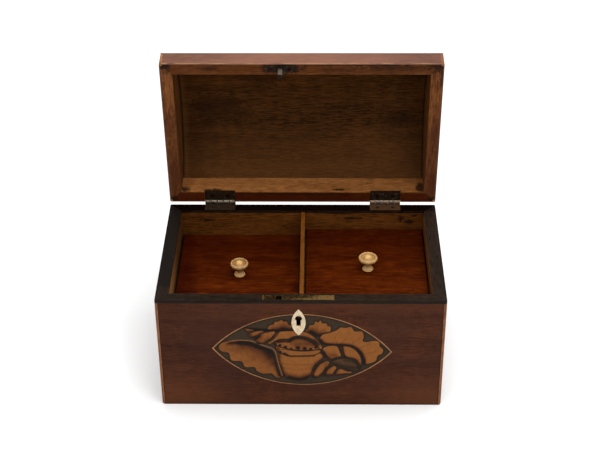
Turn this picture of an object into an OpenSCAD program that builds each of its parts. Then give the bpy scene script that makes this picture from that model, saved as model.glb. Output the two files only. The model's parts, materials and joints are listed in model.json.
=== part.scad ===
// Two-compartment tea caddy with a domed, hinged lid.
// Origin: middle of the underside. +X to the right, +Y to the hinges, +Z up.
// The lid is drawn open, turned back about its hinge line.

/* [Case] */
// Width over the side veneers
case_w = 200; // [190:1:230]
// Depth over the front and back veneers
case_d = 122; // [116:1:150]
// Height from the underside to the top of the rim facing
case_h = 92.3; // [90:0.1:120]
// Wall from the outside of the veneer to the inside of the board
wall_t = 9; // [8.6:0.1:10]
// Thickness of the face veneers
veneer_t = 0.8; // [0.6:0.1:1.2]
// Thickness of the blackened facing on the rim
facing_t = 1.8; // [1.6:0.1:3]
// Thickness of the bottom board
bottom_t = 6; // [4:0.5:8]
// How far the bottom board is let into the walls
bottom_rebate = 4; // [2:0.5:5]
// Thickness left at the front and back boards' ends where they lap the sides
lap_t = 3; // [2.5:0.1:4]
// Side of the square stringing in the upright corners
corner_string_w = 2; // [1.6:0.1:2.4]
// Rounding of the upright corners
corner_r = 1.2; // [0.4:0.1:1.6]
// Roundness of the case's lower corners, seen from the front
foot_r = 1.8; // [0.8:0.1:2.4]

/* [Compartments] */
// Thickness of the partition
partition_t = 2.8; // [2.5:0.1:5]
// Middle of the partition, from the middle of the case
partition_x = 0.5; // [-5:0.5:5]
// How far the partition stands below the rim
partition_drop = 1; // [0.5:0.5:6]
// Depth of the partition's grooves in the front and back boards
groove_d = 1.5; // [1:0.1:2]
// Thickness of the ledge strips that carry the inner lids
ledge_t = 3; // [2:0.1:4]
// Thickness of the metal foil lining
foil_t = 0.4; // [0.3:0.05:0.8]
// Thickness of the inner lids
inner_lid_t = 5; // [4:0.5:7]
// Drop of the left inner lid's top below the rim
left_drop = 21; // [14:0.5:26]
// Drop of the right inner lid's top below the rim
right_drop = 15.8; // [12:0.1:26]
// Running gap round each inner lid
inner_lid_gap = 0.5; // [0.3:0.1:1]

/* [Knobs] */
// Diameter of a knob's button
knob_d = 13.6; // [11:0.1:18]
// Height of a knob above its lid
knob_h = 11.4; // [10:0.1:16]
// Diameter of a knob's foot
knob_foot_d = 7.6; // [7:0.1:10]
// Diameter of a knob's waist
knob_waist_d = 3.8; // [3.6:0.1:6]
// Diameter of the spigot that holds a knob in its lid
spigot_d = 3.4; // [3:0.1:3.6]
// Left knob's place, right of the middle of its lid
left_knob_shift = 0.8; // [-6:0.1:6]
// Right knob's place, right of the middle of its lid
right_knob_shift = 1.4; // [-6:0.1:6]

/* [Lid] */
// Height of the lid's straight front and back
lid_eaves = 14.1; // [12:0.1:20]
// Height of the lid's crown above its rim
lid_crown = 40; // [34:0.5:46]
// Thickness of the bent top board
top_board_t = 2.4; // [2:0.1:4]
// Glue line under the lid's bent veneer
glue_line = 0.05; // [0.02:0.01:0.1]
// Gap between the closed lid and the rim facing
rim_gap = 0.2; // [0.1:0.05:0.5]
// Angle from shut to the stop
open_angle = 85; // [60:1:88]

/* [Hinges] */
// Hinge line behind the back face
hinge_back = 1.1; // [1:0.1:1.4]
// Hinge line above the rim
hinge_rise = 2.1; // [2:0.1:2.5]
// Middle of each hinge, in from the end of the case
hinge_end = 37.8; // [30:0.1:55]
// Length of each hinge
hinge_w = 23; // [18:0.5:28]
// How far a case leaf reaches in from the back face
leaf_in = 7.6; // [6.5:0.1:8]
// How far a lid leaf reaches in from the back face
lid_leaf_in = 8.9; // [8:0.1:9]
// Thickness of a leaf
leaf_t = 1; // [0.8:0.1:1.2]
// Radius of a knuckle
knuckle_r = 1.5; // [1.4:0.05:1.6]
// Radius of the hinge pin
hinge_pin_r = 0.7; // [0.6:0.05:0.8]
// Gap between knuckles
knuckle_gap = 0.2; // [0.1:0.05:0.4]

/* [Screws] */
// Diameter of a screw's head
screw_head_d = 3; // [2.6:0.1:3.4]
// Diameter of a screw's shank
screw_d = 1.6; // [1.4:0.1:1.8]
// Length of a screw
screw_l = 8; // [6:0.5:9]
// Width of a screw's slot
slot_w = 0.5; // [0.3:0.1:0.8]
// Depth of a screw's slot
slot_d = 0.3; // [0.2:0.1:0.5]

/* [Lock] */
// Middle of the lock and keyhole, from the middle of the case
lock_x = -1.5; // [-4:0.5:2]
// Middle of the lock plate, in from the front face
lock_in = 4.7; // [4.6:0.1:4.8]
// Length of the lock plate
lock_plate_w = 49; // [48:0.5:56]
// Breadth of the lock plate
lock_plate_d = 5.2; // [5:0.1:5.4]
// Thickness of the lock plate
lock_plate_t = 1.5; // [1:0.1:1.6]
// Length of the lock's case
lock_case_w = 44; // [43:0.5:46]
// Breadth of the lock's case
lock_case_d = 4.8; // [4.7:0.1:4.9]
// Depth of the lock's case below its plate
lock_case_h = 24; // [22.5:0.5:28]
// Thickness of the lock case's plates
lock_sheet_t = 0.6; // [0.5:0.1:0.7]
// Middle of the staple, left of the keyhole
staple_off = 13.4; // [13:0.1:15]
// Thickness of the staple
staple_t = 3; // [2.6:0.1:3.2]
// Breadth of the staple
staple_d = 3; // [2.8:0.1:3]
// How far the staple reaches below the lid's rim
staple_l = 10; // [9.8:0.1:11]
// Side of the staple's eye across the case
eye_d = 1.8; // [1.6:0.1:1.8]
// Height of the staple's eye
eye_h = 4.5; // [4.4:0.1:5]
// Length of the staple's let-in plate
staple_plate_w = 20; // [18:0.5:24]
// Thickness of the staple's let-in plate
staple_plate_t = 1.2; // [1:0.1:1.6]
// Travel of the bolt
bolt_travel = 5; // [4:0.5:5.5]
// Running gap round the lock's moving parts
lock_gap = 0.2; // [0.15:0.05:0.3]
// Length of the bolt's body
bolt_w = 20; // [18:0.5:22]
// Height of the bolt's body
bolt_h = 5.8; // [5:0.1:6.2]
// Length of the bolt's tongue
tongue_w = 6; // [5.6:0.1:7]
// Width of the bolt's notch for the key
notch_w = 3; // [2:0.5:4]
// Depth of the bolt's notch for the key
notch_d = 1.6; // [1:0.1:2.5]
// Thickness of the lock's spring
spring_t = 0.5; // [0.3:0.1:0.8]

/* [Escutcheon] */
// Height of the bone escutcheon
escutcheon_h = 22.9; // [20:0.1:26]
// Width of the bone escutcheon
escutcheon_w = 10; // [8.5:0.1:12]
// Thickness of the bone escutcheon
escutcheon_t = 1.2; // [0.8:0.1:1.4]
// Middle of the escutcheon below the rim
escutcheon_drop = 18.1; // [17:0.1:20]
// Middle of the keyhole's round head below the rim
keyhole_drop = 15; // [14.5:0.1:15.5]
// Diameter of the keyhole's round head
keyhole_d = 4.9; // [4.4:0.1:5.2]
// Length of the keyhole's slot below the middle of its head
keyhole_l = 6.3; // [5.5:0.1:7]
// Width of the keyhole's slot
keyhole_w = 3; // [2.6:0.1:3.6]
// Diameter of the pin that guides the key
key_pin_d = 1.6; // [1.2:0.1:1.8]

/* [Inlay] */
// Length of the pointed oval panel
panel_w = 126; // [110:1:140]
// Height of the pointed oval panel
panel_h = 63; // [56:1:66]
// Middle of the panel, from the middle of the case
panel_x = 0.8; // [-4:0.1:4]
// Middle of the panel below the rim
panel_drop = 42.3; // [38:0.1:46]
// Tilt of the panel
panel_tilt = -1.3; // [-3:0.1:3]
// Width of the light line round the panel
panel_string_w = 0.6; // [0.5:0.1:1.6]

/* [Hidden] */

// Outside faces, carcass faces and inside faces, from the middle
out_x = case_w / 2;
out_y = case_d / 2;
core_x = out_x - veneer_t;
core_y = out_y - veneer_t;
in_x = out_x - wall_t;
in_y = out_y - wall_t;
lap_y = core_y - lap_t;
carcass_h = case_h - facing_t;
// Hinge line and the plane of the shut lid's rim
pivot_y = out_y + hinge_back;
hinge_x = out_x - hinge_end;
pivot_z = case_h + hinge_rise;
lid_z = case_h + rim_gap;
// The lid's leaves lie at the bottom of deep pockets, and stop short of the knuckles
knuckle_room = 0.3;
lid_leaf_z = pivot_z - leaf_t / 2;
lid_leaf_end = pivot_y - knuckle_r - knuckle_room;
// Faces of the partition, and the inner lids' undersides
part_left = partition_x - partition_t / 2;
part_right = partition_x + partition_t / 2;
left_seat = case_h - left_drop - inner_lid_t;
right_seat = case_h - right_drop - inner_lid_t;
// The lid's arc: one middle for every skin
arc_rise = lid_crown - lid_eaves;
top_out_r = (out_y * out_y + arc_rise * arc_rise) / (2 * arc_rise);
arc_z = lid_z + lid_crown - top_out_r;
top_glue_r = top_out_r - veneer_t;
top_core_r = top_glue_r - glue_line;
top_in_r = top_core_r - top_board_t;
// The staple's tip swings in an arc, so its hole is longer to the front
swing_room = 0.8;
staple_side_gap = 0.5;
// Metal left below the staple's eye, and from the staple to the open bolt's tongue
eye_foot = 1.5;
tongue_clear = 0.6;
// Lock
lock_y = lock_in - out_y;
panel_z = case_h - panel_drop;
plate_under = case_h - lock_plate_t;
staple_x = lock_x - staple_off;
eye_z = lid_z - staple_l + eye_foot + eye_h / 2;
tongue_tip = staple_x + staple_t / 2 + tongue_clear;
bolt_d = lock_case_d - 2 * lock_sheet_t - 2 * lock_gap;
bolt_top = eye_z + bolt_h / 2;
keyhole_z = case_h - keyhole_drop;
// Fine clearances: a running pin, a fixed pin or screw, and room beyond a cut
pin_gap = 0.05;
fit_gap = 0.02;
cut = 1;
// Size of the panel for which the shells' points are drawn
drawn_w = 126;
drawn_h = 63;
// Steps along a curve between two points of an outline
curve_steps = 4;

MAHOGANY = [0.36, 0.16, 0.09];
RED_MAHOGANY = [0.5, 0.2, 0.08];
EBONISED = [0.09, 0.07, 0.06];
SATINWOOD = [0.72, 0.5, 0.26];
PALE_WOOD = [0.62, 0.48, 0.28];
BONE = [0.9, 0.84, 0.68];
BRASS = [0.6, 0.5, 0.26];
IRON = [0.27, 0.24, 0.22];
FOIL = [0.55, 0.56, 0.56];
GROUND = [0.27, 0.27, 0.22];
SHELL = [0.76, 0.5, 0.26];

// Outlines of the inlaid pieces, from the middle of the panel
CONCH = [
    [-57.5, 1], [-56, 5.5], [-50, 8], [-42, 8], [-35.5, 7], [-30, 4], [-24, 1.2], [-20.3, -1],
    [-18.8, -6], [-17.6, -13], [-15.6, -21], [-14.6, -25], [-18, -24.6], [-21, -21.3], [-27, -21.6],
    [-31.4, -19], [-33, -15.6], [-39.6, -15.6], [-41.8, -10.6], [-48.8, -9.6], [-50.6, -3], [-54.6, -2]
];
LEFT_WHORL = [
    [-32.4, 9.6], [-29.6, 12.6], [-24.6, 15.2], [-17.9, 16.4], [-19.9, 11.8], [-22.4, 8.6], [-27, 5.2],
    [-31, 6.2]
];
LEFT_LIP = [
    [-22.6, 7.6], [-19.4, 10.8], [-16.4, 15.6], [-9, 16.8], [0, 16.6], [6, 14.4], [11.4, 9], [14.8, 3],
    [13.4, 1], [11, 5.4], [7, 9.6], [1, 12], [-5, 12], [-9, 9.8], [-15, 9.4], [-19, 7.2], [-22, 5.4]
];
UPPER_LIP = [
    [-17.4, 7.4], [-12, 9], [-8.4, 8.8], [-4.6, 11], [0.4, 11], [5.8, 9], [10, 5], [12.4, 1],
    [5, 0.2], [-3, 0.2], [-10, 1.6], [-15, 3.4], [-17.8, 5.2]
];
LOWER_LIP = [
    [-17.4, 3.4], [-14.6, 2.6], [-9.6, 0.6], [-3, -0.8], [5, -0.8], [12.6, 0], [13.4, -1.6], [8.4, -4.4],
    [0, -4.8], [-8, -4.8], [-12, -3.4], [-16.6, -1]
];
COWRIE = [
    [-16.6, -3], [-12, -4.4], [-8, -5.8], [0, -5.8], [8.6, -5.4], [13.2, -3], [15.6, -6.8], [13, -9.4],
    [9, -14.6], [7, -21.4], [4.6, -25], [-1.6, -27.4], [-9, -25.8], [-13, -22], [-15, -14], [-16.2, -8]
];
FAR_SHELL = [
    [12.8, 9], [15, 13.6], [20, 15.4], [24.4, 17.4], [27.4, 20], [31, 19.8], [34.8, 20.4], [37.4, 16.8],
    [42.4, 16.6], [43.8, 12], [43, 8.4], [46, 7.4], [50, 8.4], [54.2, 7.6], [55, 3.6], [57.4, 0.6],
    [56.6, -3], [53.6, -5], [52.6, -9.6], [47.4, -12], [43.8, -12.4], [43, -7], [40.6, -1.6], [36, 2.8],
    [30, 4.4], [20, 4.8], [15, 6]
];
NEAR_BAND = [
    [14.8, 0], [17.2, 2.9], [21, 4], [25.2, 3.4], [27, -1], [28.2, -6], [24, -7], [20.4, -8.4], [17, -5.6]
];
FAR_BAND = [
    [28, 3.2], [32.6, 3.2], [37, 1], [40.4, -3.4], [42.2, -8.6], [42, -14], [41, -15.4], [39.6, -11.4],
    [36.6, -7.8], [32, -6.6], [29.8, -5.4], [28.6, -1]
];
SPIRE_TIP = [[-38.6, 18.8], [-34.6, 18.4], [-31.6, 17.2], [-33.4, 16.2], [-36.2, 15.6]];
SPIRE_TURN = [
    [-36, 14.4], [-31.4, 16.2], [-26.2, 17.2], [-25, 15.8], [-29, 13.4], [-32.6, 11.2], [-35.4, 11.6]
];
LOW_WHORL = [
    [7.2, -23.4], [8.8, -18], [11.8, -12.6], [15.2, -10], [19.6, -10.4], [19.4, -13], [16.6, -17], [14.2, -21.6],
    [10.6, -24.8]
];
LOW_TURN = [[15.8, -22.2], [17.4, -17.4], [21, -14.2], [24, -14.4], [25, -16.2], [23.2, -19], [22, -22.4]];
LOW_TIP = [[23.8, -22.2], [26.2, -17.6], [29, -17.2], [32, -19], [36, -19.6], [34.6, -20.8], [29, -21.8]];
LEFT_CORAL = [
    [-23, 18.6], [-21.6, 21.6], [-18.8, 22.6], [-18.2, 24.8], [-15.6, 25.2], [-13.4, 26.6], [-11.4, 25],
    [-9.6, 25.4], [-8.4, 22.6], [-6.4, 21.6], [-5.8, 18.2], [-12, 17.8], [-18.6, 18]
];
RIGHT_CORAL = [
    [2.8, 17], [5.2, 19.4], [6, 22], [9, 22.4], [10.2, 25.6], [12, 24.4], [13.6, 26.6], [15, 23.6],
    [17.6, 23.8], [18.6, 21.6], [20.6, 20.6], [20.4, 16.6], [15.4, 15], [13.2, 12], [9.8, 12.3], [6.6, 15.2]
];
LEAF = [
    [20.8, -10.8], [24.4, -8.6], [31, -7.4], [36, -8.8], [38.8, -12.2], [40.2, -15.6], [41.2, -17.8],
    [37, -18.4], [31, -16.4], [26, -14.5], [22.8, -12.5]
];

// Catmull-Rom curve through a closed ring of points
function ring_at(ring, i) = ring[(i + len(ring)) % len(ring)];
function curve_at(a, b, c, d, t) =
    0.5 * (2 * b + (c - a) * t + (2 * a - 5 * b + 4 * c - d) * t * t + (3 * b - a - 3 * c + d) * t * t * t);
function curve_near(ring, i, t) =
    curve_at(ring_at(ring, i - 1), ring_at(ring, i), ring_at(ring, i + 1), ring_at(ring, i + 2), t);
function closed_curve(ring) = [
    for (i = [0 : len(ring) - 1], s = [0 : curve_steps - 1]) curve_near(ring, i, s / curve_steps)
];

// Pointed oval: where two equal circles cross
module pointed_oval(length, height) {
    r = (length * length + height * height) / (4 * height);
    intersection() {
        translate([0, height / 2 - r]) circle(r, $fn = 128);
        translate([0, r - height / 2]) circle(r, $fn = 128);
    }
}

// A box from one corner to the other
module block(low, high) {
    translate(low) cube(high - low);
}

// Plan of the case or lid, with its upright corners rounded
module plan() {
    inner_x = out_x - corner_r;
    inner_y = out_y - corner_r;
    square([2 * inner_x, case_d], center = true);
    square([case_w, 2 * inner_y], center = true);
    for (x = [-inner_x, inner_x], y = [-inner_y, inner_y])
        translate([x, y]) circle(corner_r, $fn = 24);
}

// The four squares of the corner stringing, in plan
module corner_squares() {
    for (x = [-1, 1], y = [-1, 1])
        translate([x * (out_x - corner_string_w / 2), y * (out_y - corner_string_w / 2)])
            square(corner_string_w, center = true);
}

module corner_columns(low, high) {
    translate([0, 0, low]) linear_extrude(high - low) corner_squares();
}

// What wear has taken off the case's two lower corners, from front to back
module worn_corners() {
    for (side = [-1, 1])
        translate([0, out_y + cut, 0]) rotate([90, 0, 0]) linear_extrude(case_d + 2 * cut) polygon([
            for (a = [0 : 22.5 : 90]) [side * (out_x - foot_r + foot_r * sin(a)), foot_r - foot_r * cos(a)],
            [side * (out_x + cut), foot_r], [side * (out_x + cut), -cut], [side * (out_x - foot_r), -cut]
        ]);
}

// A shape drawn on the front face (x across, y up), filled back to a depth
module on_front(depth) {
    translate([0, depth - out_y, 0]) rotate([90, 0, 0]) linear_extrude(depth) children();
}

// A shape drawn in a cross-section (x to the back, y up), drawn out from x to x
module across(low, high) {
    translate([low, 0, 0]) rotate([90, 0, 90]) linear_extrude(high - low) children();
}

module opened() {
    translate([0, pivot_y, pivot_z]) rotate([-open_angle, 0, 0]) translate([0, -pivot_y, -pivot_z]) children();
}

// Shut lid's cross-section, filled up to one skin of its arc
module lid_section(r, half_depth) {
    intersection() {
        translate([-half_depth, lid_z]) square([2 * half_depth, lid_crown]);
        translate([0, arc_z]) circle(r, $fn = 128);
    }
}

// ---- hinges ----

SCREW_PLACES = [-hinge_w / 4, hinge_w / 4];
screw_y = out_y - leaf_in / 2;
lid_screw_y = out_y - lid_leaf_in / 2;

// Countersunk screw, head up at z = 0, with a slot. Drawn larger by extra, it is the screw's hole
module screw(extra) {
    head_r = screw_head_d / 2 + extra;
    shank_r = screw_d / 2 + extra;
    over = extra > 0 ? cut : 0;
    difference() {
        rotate_extrude($fn = 24) polygon([
            [0, over], [head_r, over], [head_r, 0], [shank_r, shank_r - head_r], [shank_r, -screw_l],
            [0, -screw_l]
        ]);
        if (extra == 0) cube([screw_head_d + cut, slot_w, 2 * slot_d], center = true);
    }
}

// The screws of both case leaves, or their holes
module case_screw_set(extra) {
    for (side = [-1, 1], x = SCREW_PLACES)
        translate([side * hinge_x + x, screw_y, case_h]) screw(extra);
}

// The screws of both lid leaves and the staple, or their holes
module lid_screw_set(extra) {
    for (side = [-1, 1], x = SCREW_PLACES)
        translate([side * hinge_x + x, lid_screw_y, lid_leaf_z]) mirror([0, 0, 1]) screw(extra);
    for (x = [-1, 1])
        translate([staple_x + x * staple_plate_w * 0.32, lock_y, lid_z]) mirror([0, 0, 1]) screw(extra);
}

// Pocket of one leaf, this far in; the case leaf lies below the rim and the lid leaf above it
module leaf_pocket(side, reach, low, high) {
    block([side * hinge_x - hinge_w / 2, out_y - reach, low],
        [side * hinge_x + hinge_w / 2, out_y + cut, high]);
}

// Knuckles, each drawn with the tab that joins it to its leaf. They are numbered 0 to 4 along +X;
// the case has 0, 2 and 4 and the lid has 1 and 3
module knuckles(side, picks) {
    pitch = hinge_w / 5;
    for (k = picks) {
        x = side * hinge_x - hinge_w / 2 + k * pitch + knuckle_gap / 2;
        across(x, x + pitch - knuckle_gap) {
            translate([pivot_y, pivot_z]) circle(knuckle_r, $fn = 32);
            children();
        }
    }
}

module knuckle_bore(side, r) {
    translate([side * hinge_x - hinge_w / 2 - cut, pivot_y, pivot_z])
        rotate([0, 90, 0]) cylinder(hinge_w + 2 * cut, r = r, $fn = 32);
}

module case_leaf(side) {
    color(IRON) difference() {
        union() {
            block([side * hinge_x - hinge_w / 2, out_y - leaf_in, case_h - leaf_t],
                [side * hinge_x + hinge_w / 2, pivot_y + knuckle_r / 2, case_h]);
            knuckles(side, [0, 2, 4]) translate([pivot_y - knuckle_r / 2, case_h - leaf_t / 2])
                square([knuckle_r * 0.9, pivot_z - case_h + leaf_t / 2]);
        }
        knuckle_bore(side, hinge_pin_r + fit_gap);
        case_screw_set(fit_gap);
    }
}

module lid_leaf(side) {
    color(IRON) opened() difference() {
        union() {
            block([side * hinge_x - hinge_w / 2, out_y - lid_leaf_in, lid_leaf_z],
                [side * hinge_x + hinge_w / 2, lid_leaf_end, lid_leaf_z + leaf_t]);
            knuckles(side, [1, 3]) translate([lid_leaf_end - cut, lid_leaf_z + leaf_t / 10])
                square([pivot_y - lid_leaf_end + cut, leaf_t * 0.8]);
        }
        knuckle_bore(side, hinge_pin_r + pin_gap);
        lid_screw_set(fit_gap);
    }
}

module hinge_pin(side) {
    color(IRON) translate([side * hinge_x - hinge_w / 2, pivot_y, pivot_z])
        rotate([0, 90, 0]) cylinder(hinge_w, r = hinge_pin_r, $fn = 32);
}

module case_leaf_screws() {
    color(IRON) case_screw_set(0);
}

module lid_screws() {
    color(IRON) opened() lid_screw_set(0);
}

// ---- lock ----

module lock_plate_block(low, high) {
    block([lock_x - lock_plate_w / 2, lock_y - lock_plate_d / 2, low],
        [lock_x + lock_plate_w / 2, lock_y + lock_plate_d / 2, high]);
}

// Outside of the lock's case, or its inside when drawn smaller by a sheet
module lock_case_block(inset, high) {
    half_w = lock_case_w / 2 - inset;
    half_d = lock_case_d / 2 - inset;
    block([lock_x - half_w, lock_y - half_d, plate_under - lock_case_h + inset],
        [lock_x + half_w, lock_y + half_d, high]);
}

module keyhole() {
    translate([lock_x, keyhole_z]) circle(d = keyhole_d, $fn = 32);
    translate([lock_x - keyhole_w / 2, keyhole_z - keyhole_l]) square([keyhole_w, keyhole_l]);
}

// Room for the staple, longer to the front, and longer still by `more` where the case's front is cut
module staple_room(more) {
    hole_x = staple_t / 2 + staple_side_gap;
    block([staple_x - hole_x, lock_y - staple_d / 2 - swing_room - more, lid_z - staple_l - cut],
        [staple_x + hole_x, lock_y + staple_d / 2 + 2 * lock_gap, case_h + cut]);
}

module lock_plate() {
    color(BRASS) difference() {
        lock_plate_block(plate_under, case_h);
        staple_room(0);
    }
}

module lock_case() {
    color(BRASS) difference() {
        lock_case_block(0, plate_under);
        lock_case_block(lock_sheet_t, plate_under + cut);
        staple_room(lock_sheet_t);
        on_front(lock_in) keyhole();
        translate([lock_x, lock_y, keyhole_z]) rotate([-90, 0, 0])
            cylinder(lock_case_d, d = key_pin_d + 2 * fit_gap, $fn = 24);
    }
}

module key_pin() {
    color(IRON) translate([lock_x, lock_y - lock_case_d / 2, keyhole_z]) rotate([-90, 0, 0])
        cylinder(lock_case_d, d = key_pin_d, $fn = 24);
}

module lock_bolt() {
    tongue_d = eye_d - 2 * lock_gap;
    tongue_h = eye_h - 5 * lock_gap;
    body_x = tongue_tip + tongue_w;
    color(IRON) difference() {
        union() {
            block([body_x, lock_y - bolt_d / 2, bolt_top - bolt_h],
                [body_x + bolt_w, lock_y + bolt_d / 2, bolt_top]);
            block([tongue_tip, lock_y - tongue_d / 2, eye_z - tongue_h / 2],
                [body_x + cut, lock_y + tongue_d / 2, eye_z + tongue_h / 2]);
        }
        // Notch that the key turns in
        block([lock_x, lock_y - bolt_d, bolt_top - bolt_h - cut],
            [lock_x + notch_w, lock_y + bolt_d, bolt_top - bolt_h + notch_d]);
    }
}

// Bowed leaf that presses on the bolt, held under the plate
module lock_spring() {
    span = bolt_w * 0.8;
    rise = plate_under - bolt_top - lock_gap - spring_t;
    r = (span * span / 4 + rise * rise) / (2 * rise);
    middle_x = tongue_tip + tongue_w + bolt_w / 2;
    color(IRON) intersection() {
        translate([middle_x, lock_y + bolt_d / 2, bolt_top + lock_gap + spring_t + r])
            rotate([90, 0, 0]) difference() {
                cylinder(bolt_d, r = r + spring_t, $fn = 96);
                translate([0, 0, -cut]) cylinder(bolt_d + 2 * cut, r = r, $fn = 96);
            }
        block([middle_x - span, lock_y - bolt_d, bolt_top], [middle_x + span, lock_y + bolt_d, plate_under]);
    }
}

module staple_plate_block(low, high) {
    block([staple_x - staple_plate_w / 2, lock_y - lock_plate_d / 2, low],
        [staple_x + staple_plate_w / 2, lock_y + lock_plate_d / 2, high]);
}

module lock_staple() {
    color(IRON) opened() difference() {
        union() {
            staple_plate_block(lid_z, lid_z + staple_plate_t);
            block([staple_x - staple_t / 2, lock_y - staple_d / 2, lid_z - staple_l],
                [staple_x + staple_t / 2, lock_y + staple_d / 2, lid_z + staple_plate_t]);
        }
        block([staple_x - staple_t, lock_y - eye_d / 2, eye_z - eye_h / 2],
            [staple_x + staple_t, lock_y + eye_d / 2, eye_z + eye_h / 2]);
        lid_screw_set(fit_gap);
    }
}

// ---- case ----

module bottom_block() {
    half_w = in_x + bottom_rebate;
    half_d = in_y + bottom_rebate;
    block([-half_w, -half_d, 0], [half_w, half_d, bottom_t]);
}

module bottom_board() {
    color(PALE_WOOD) bottom_block();
}

// Plan of the front or back board: the ends are rebated for the sides
module long_board_plan(face) {
    difference() {
        translate([-core_x, face > 0 ? in_y : -core_y]) square([2 * core_x, core_y - in_y]);
        for (x = [-1, 1])
            translate([x * (in_x + wall_t / 2), face * (lap_y - wall_t / 2)]) square(wall_t, center = true);
        corner_squares();
    }
}

module groove_block() {
    block([part_left, -in_y - groove_d, 0], [part_right, in_y + groove_d, case_h]);
}

module front_board() {
    color(MAHOGANY) difference() {
        linear_extrude(carcass_h) long_board_plan(-1);
        worn_corners();
        bottom_block();
        groove_block();
        lock_case_block(0, case_h);
        on_front(lock_in) keyhole();
        on_front(escutcheon_t) escutcheon_outline();
    }
}

module back_board() {
    color(MAHOGANY) difference() {
        linear_extrude(carcass_h) long_board_plan(1);
        worn_corners();
        bottom_block();
        groove_block();
        case_screw_set(fit_gap);
    }
}

module side_board(face) {
    color(MAHOGANY) difference() {
        block([face > 0 ? in_x : -core_x, -lap_y, 0], [face > 0 ? core_x : -in_x, lap_y, carcass_h]);
        worn_corners();
        bottom_block();
    }
}

module front_veneer() {
    color(MAHOGANY) difference() {
        block([corner_string_w - out_x, -out_y, 0], [out_x - corner_string_w, -core_y, carcass_h]);
        worn_corners();
        on_front(veneer_t + cut) panel_outline(0);
        on_front(veneer_t + cut) escutcheon_outline();
    }
}

module back_veneer() {
    color(MAHOGANY) difference() {
        block([corner_string_w - out_x, core_y, 0], [out_x - corner_string_w, out_y, carcass_h]);
        worn_corners();
    }
}

module side_veneer(face) {
    color(MAHOGANY) difference() {
        block([face > 0 ? core_x : -out_x, corner_string_w - out_y, 0],
            [face > 0 ? out_x : -core_x, out_y - corner_string_w, carcass_h]);
        worn_corners();
    }
}

module case_corner_stringing() {
    color(SATINWOOD) difference() {
        linear_extrude(carcass_h) intersection() {
            plan();
            corner_squares();
        }
        worn_corners();
    }
}

// One side of the rim facing in plan, cut to its mitres
module facing_plan(corners) {
    intersection() {
        plan();
        polygon(corners);
    }
}

module facing(corners) {
    translate([0, 0, carcass_h]) linear_extrude(facing_t) facing_plan(corners);
}

module front_rim_facing() {
    color(EBONISED) difference() {
        facing([[-out_x, -out_y], [out_x, -out_y], [in_x, -in_y], [-in_x, -in_y]]);
        lock_plate_block(plate_under, case_h + cut);
        lock_case_block(0, case_h);
    }
}

module back_rim_facing() {
    color(EBONISED) difference() {
        facing([[out_x, out_y], [-out_x, out_y], [-in_x, in_y], [in_x, in_y]]);
        for (side = [-1, 1]) leaf_pocket(side, leaf_in, case_h - leaf_t, case_h + cut);
        case_screw_set(fit_gap);
    }
}

module left_rim_facing() {
    color(EBONISED) facing([[-out_x, out_y], [-out_x, -out_y], [-in_x, -in_y], [-in_x, in_y]]);
}

module right_rim_facing() {
    color(EBONISED) facing([[out_x, -out_y], [out_x, out_y], [in_x, in_y], [in_x, -in_y]]);
}

// ---- compartments ----

module partition() {
    color(PALE_WOOD)
        block([part_left, -in_y - groove_d, bottom_t], [part_right, in_y + groove_d, carcass_h]);
    color(PALE_WOOD)
        block([part_left, -in_y, carcass_h], [part_right, in_y, case_h - partition_drop]);
}

// Four strips round a compartment from x to x, under its inner lid
module ledge_strips(low, high, seat) {
    color(PALE_WOOD) {
        for (y = [-in_y, in_y - ledge_t])
            block([low, y, bottom_t], [high, y + ledge_t, seat]);
        for (x = [low, high - ledge_t])
            block([x, -in_y + ledge_t, bottom_t], [x + ledge_t, in_y - ledge_t, seat]);
    }
}

module foil_lining(low, high, seat) {
    color(FOIL) difference() {
        block([low + ledge_t, -in_y + ledge_t, bottom_t], [high - ledge_t, in_y - ledge_t, seat]);
        block([low + ledge_t + foil_t, -in_y + ledge_t + foil_t, bottom_t + foil_t],
            [high - ledge_t - foil_t, in_y - ledge_t - foil_t, seat + cut]);
    }
}

left_knob_x = (part_left - in_x) / 2 + left_knob_shift;
right_knob_x = (part_right + in_x) / 2 + right_knob_shift;

module inner_lid(low, high, seat, knob_x) {
    color(RED_MAHOGANY) difference() {
        block([low + inner_lid_gap, -in_y + inner_lid_gap, seat],
            [high - inner_lid_gap, in_y - inner_lid_gap, seat + inner_lid_t]);
        translate([knob_x, 0, seat - cut])
            cylinder(inner_lid_t + 2 * cut, r = spigot_d / 2 + fit_gap, $fn = 32);
    }
}

// Turned knob: spigot, foot, waist and a dished button with a raised middle
module knob(x, seat) {
    button = knob_d / 2;
    waist = knob_waist_d / 2;
    foot = knob_foot_d / 2;
    color(BONE) translate([x, 0, seat + inner_lid_t]) rotate_extrude($fn = 64) polygon([
        [0, -inner_lid_t], [spigot_d / 2, -inner_lid_t], [spigot_d / 2, 0], [foot, 0],
        [foot, knob_h * 0.06], [foot * 0.78, knob_h * 0.13], [waist * 1.26, knob_h * 0.19],
        [waist, knob_h * 0.28], [waist, knob_h * 0.42], [waist * 1.47, knob_h * 0.53],
        [button * 0.76, knob_h * 0.61], [button * 0.96, knob_h * 0.72], [button, knob_h * 0.81],
        [button * 0.96, knob_h * 0.89], [button * 0.85, knob_h * 0.93], [button * 0.76, knob_h * 0.895],
        [button * 0.68, knob_h * 0.94], [button * 0.56, knob_h * 0.95], [button * 0.49, knob_h * 0.91],
        [button * 0.38, knob_h * 0.98], [0, knob_h]
    ]);
}

// ---- inlay ----

module panel_outline(inset) {
    translate([panel_x, panel_z]) rotate(panel_tilt) pointed_oval(panel_w - 4 * inset, panel_h - 2 * inset);
}

module escutcheon_outline() {
    translate([lock_x, case_h - escutcheon_drop]) rotate(90) pointed_oval(escutcheon_h, escutcheon_w);
}

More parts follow.
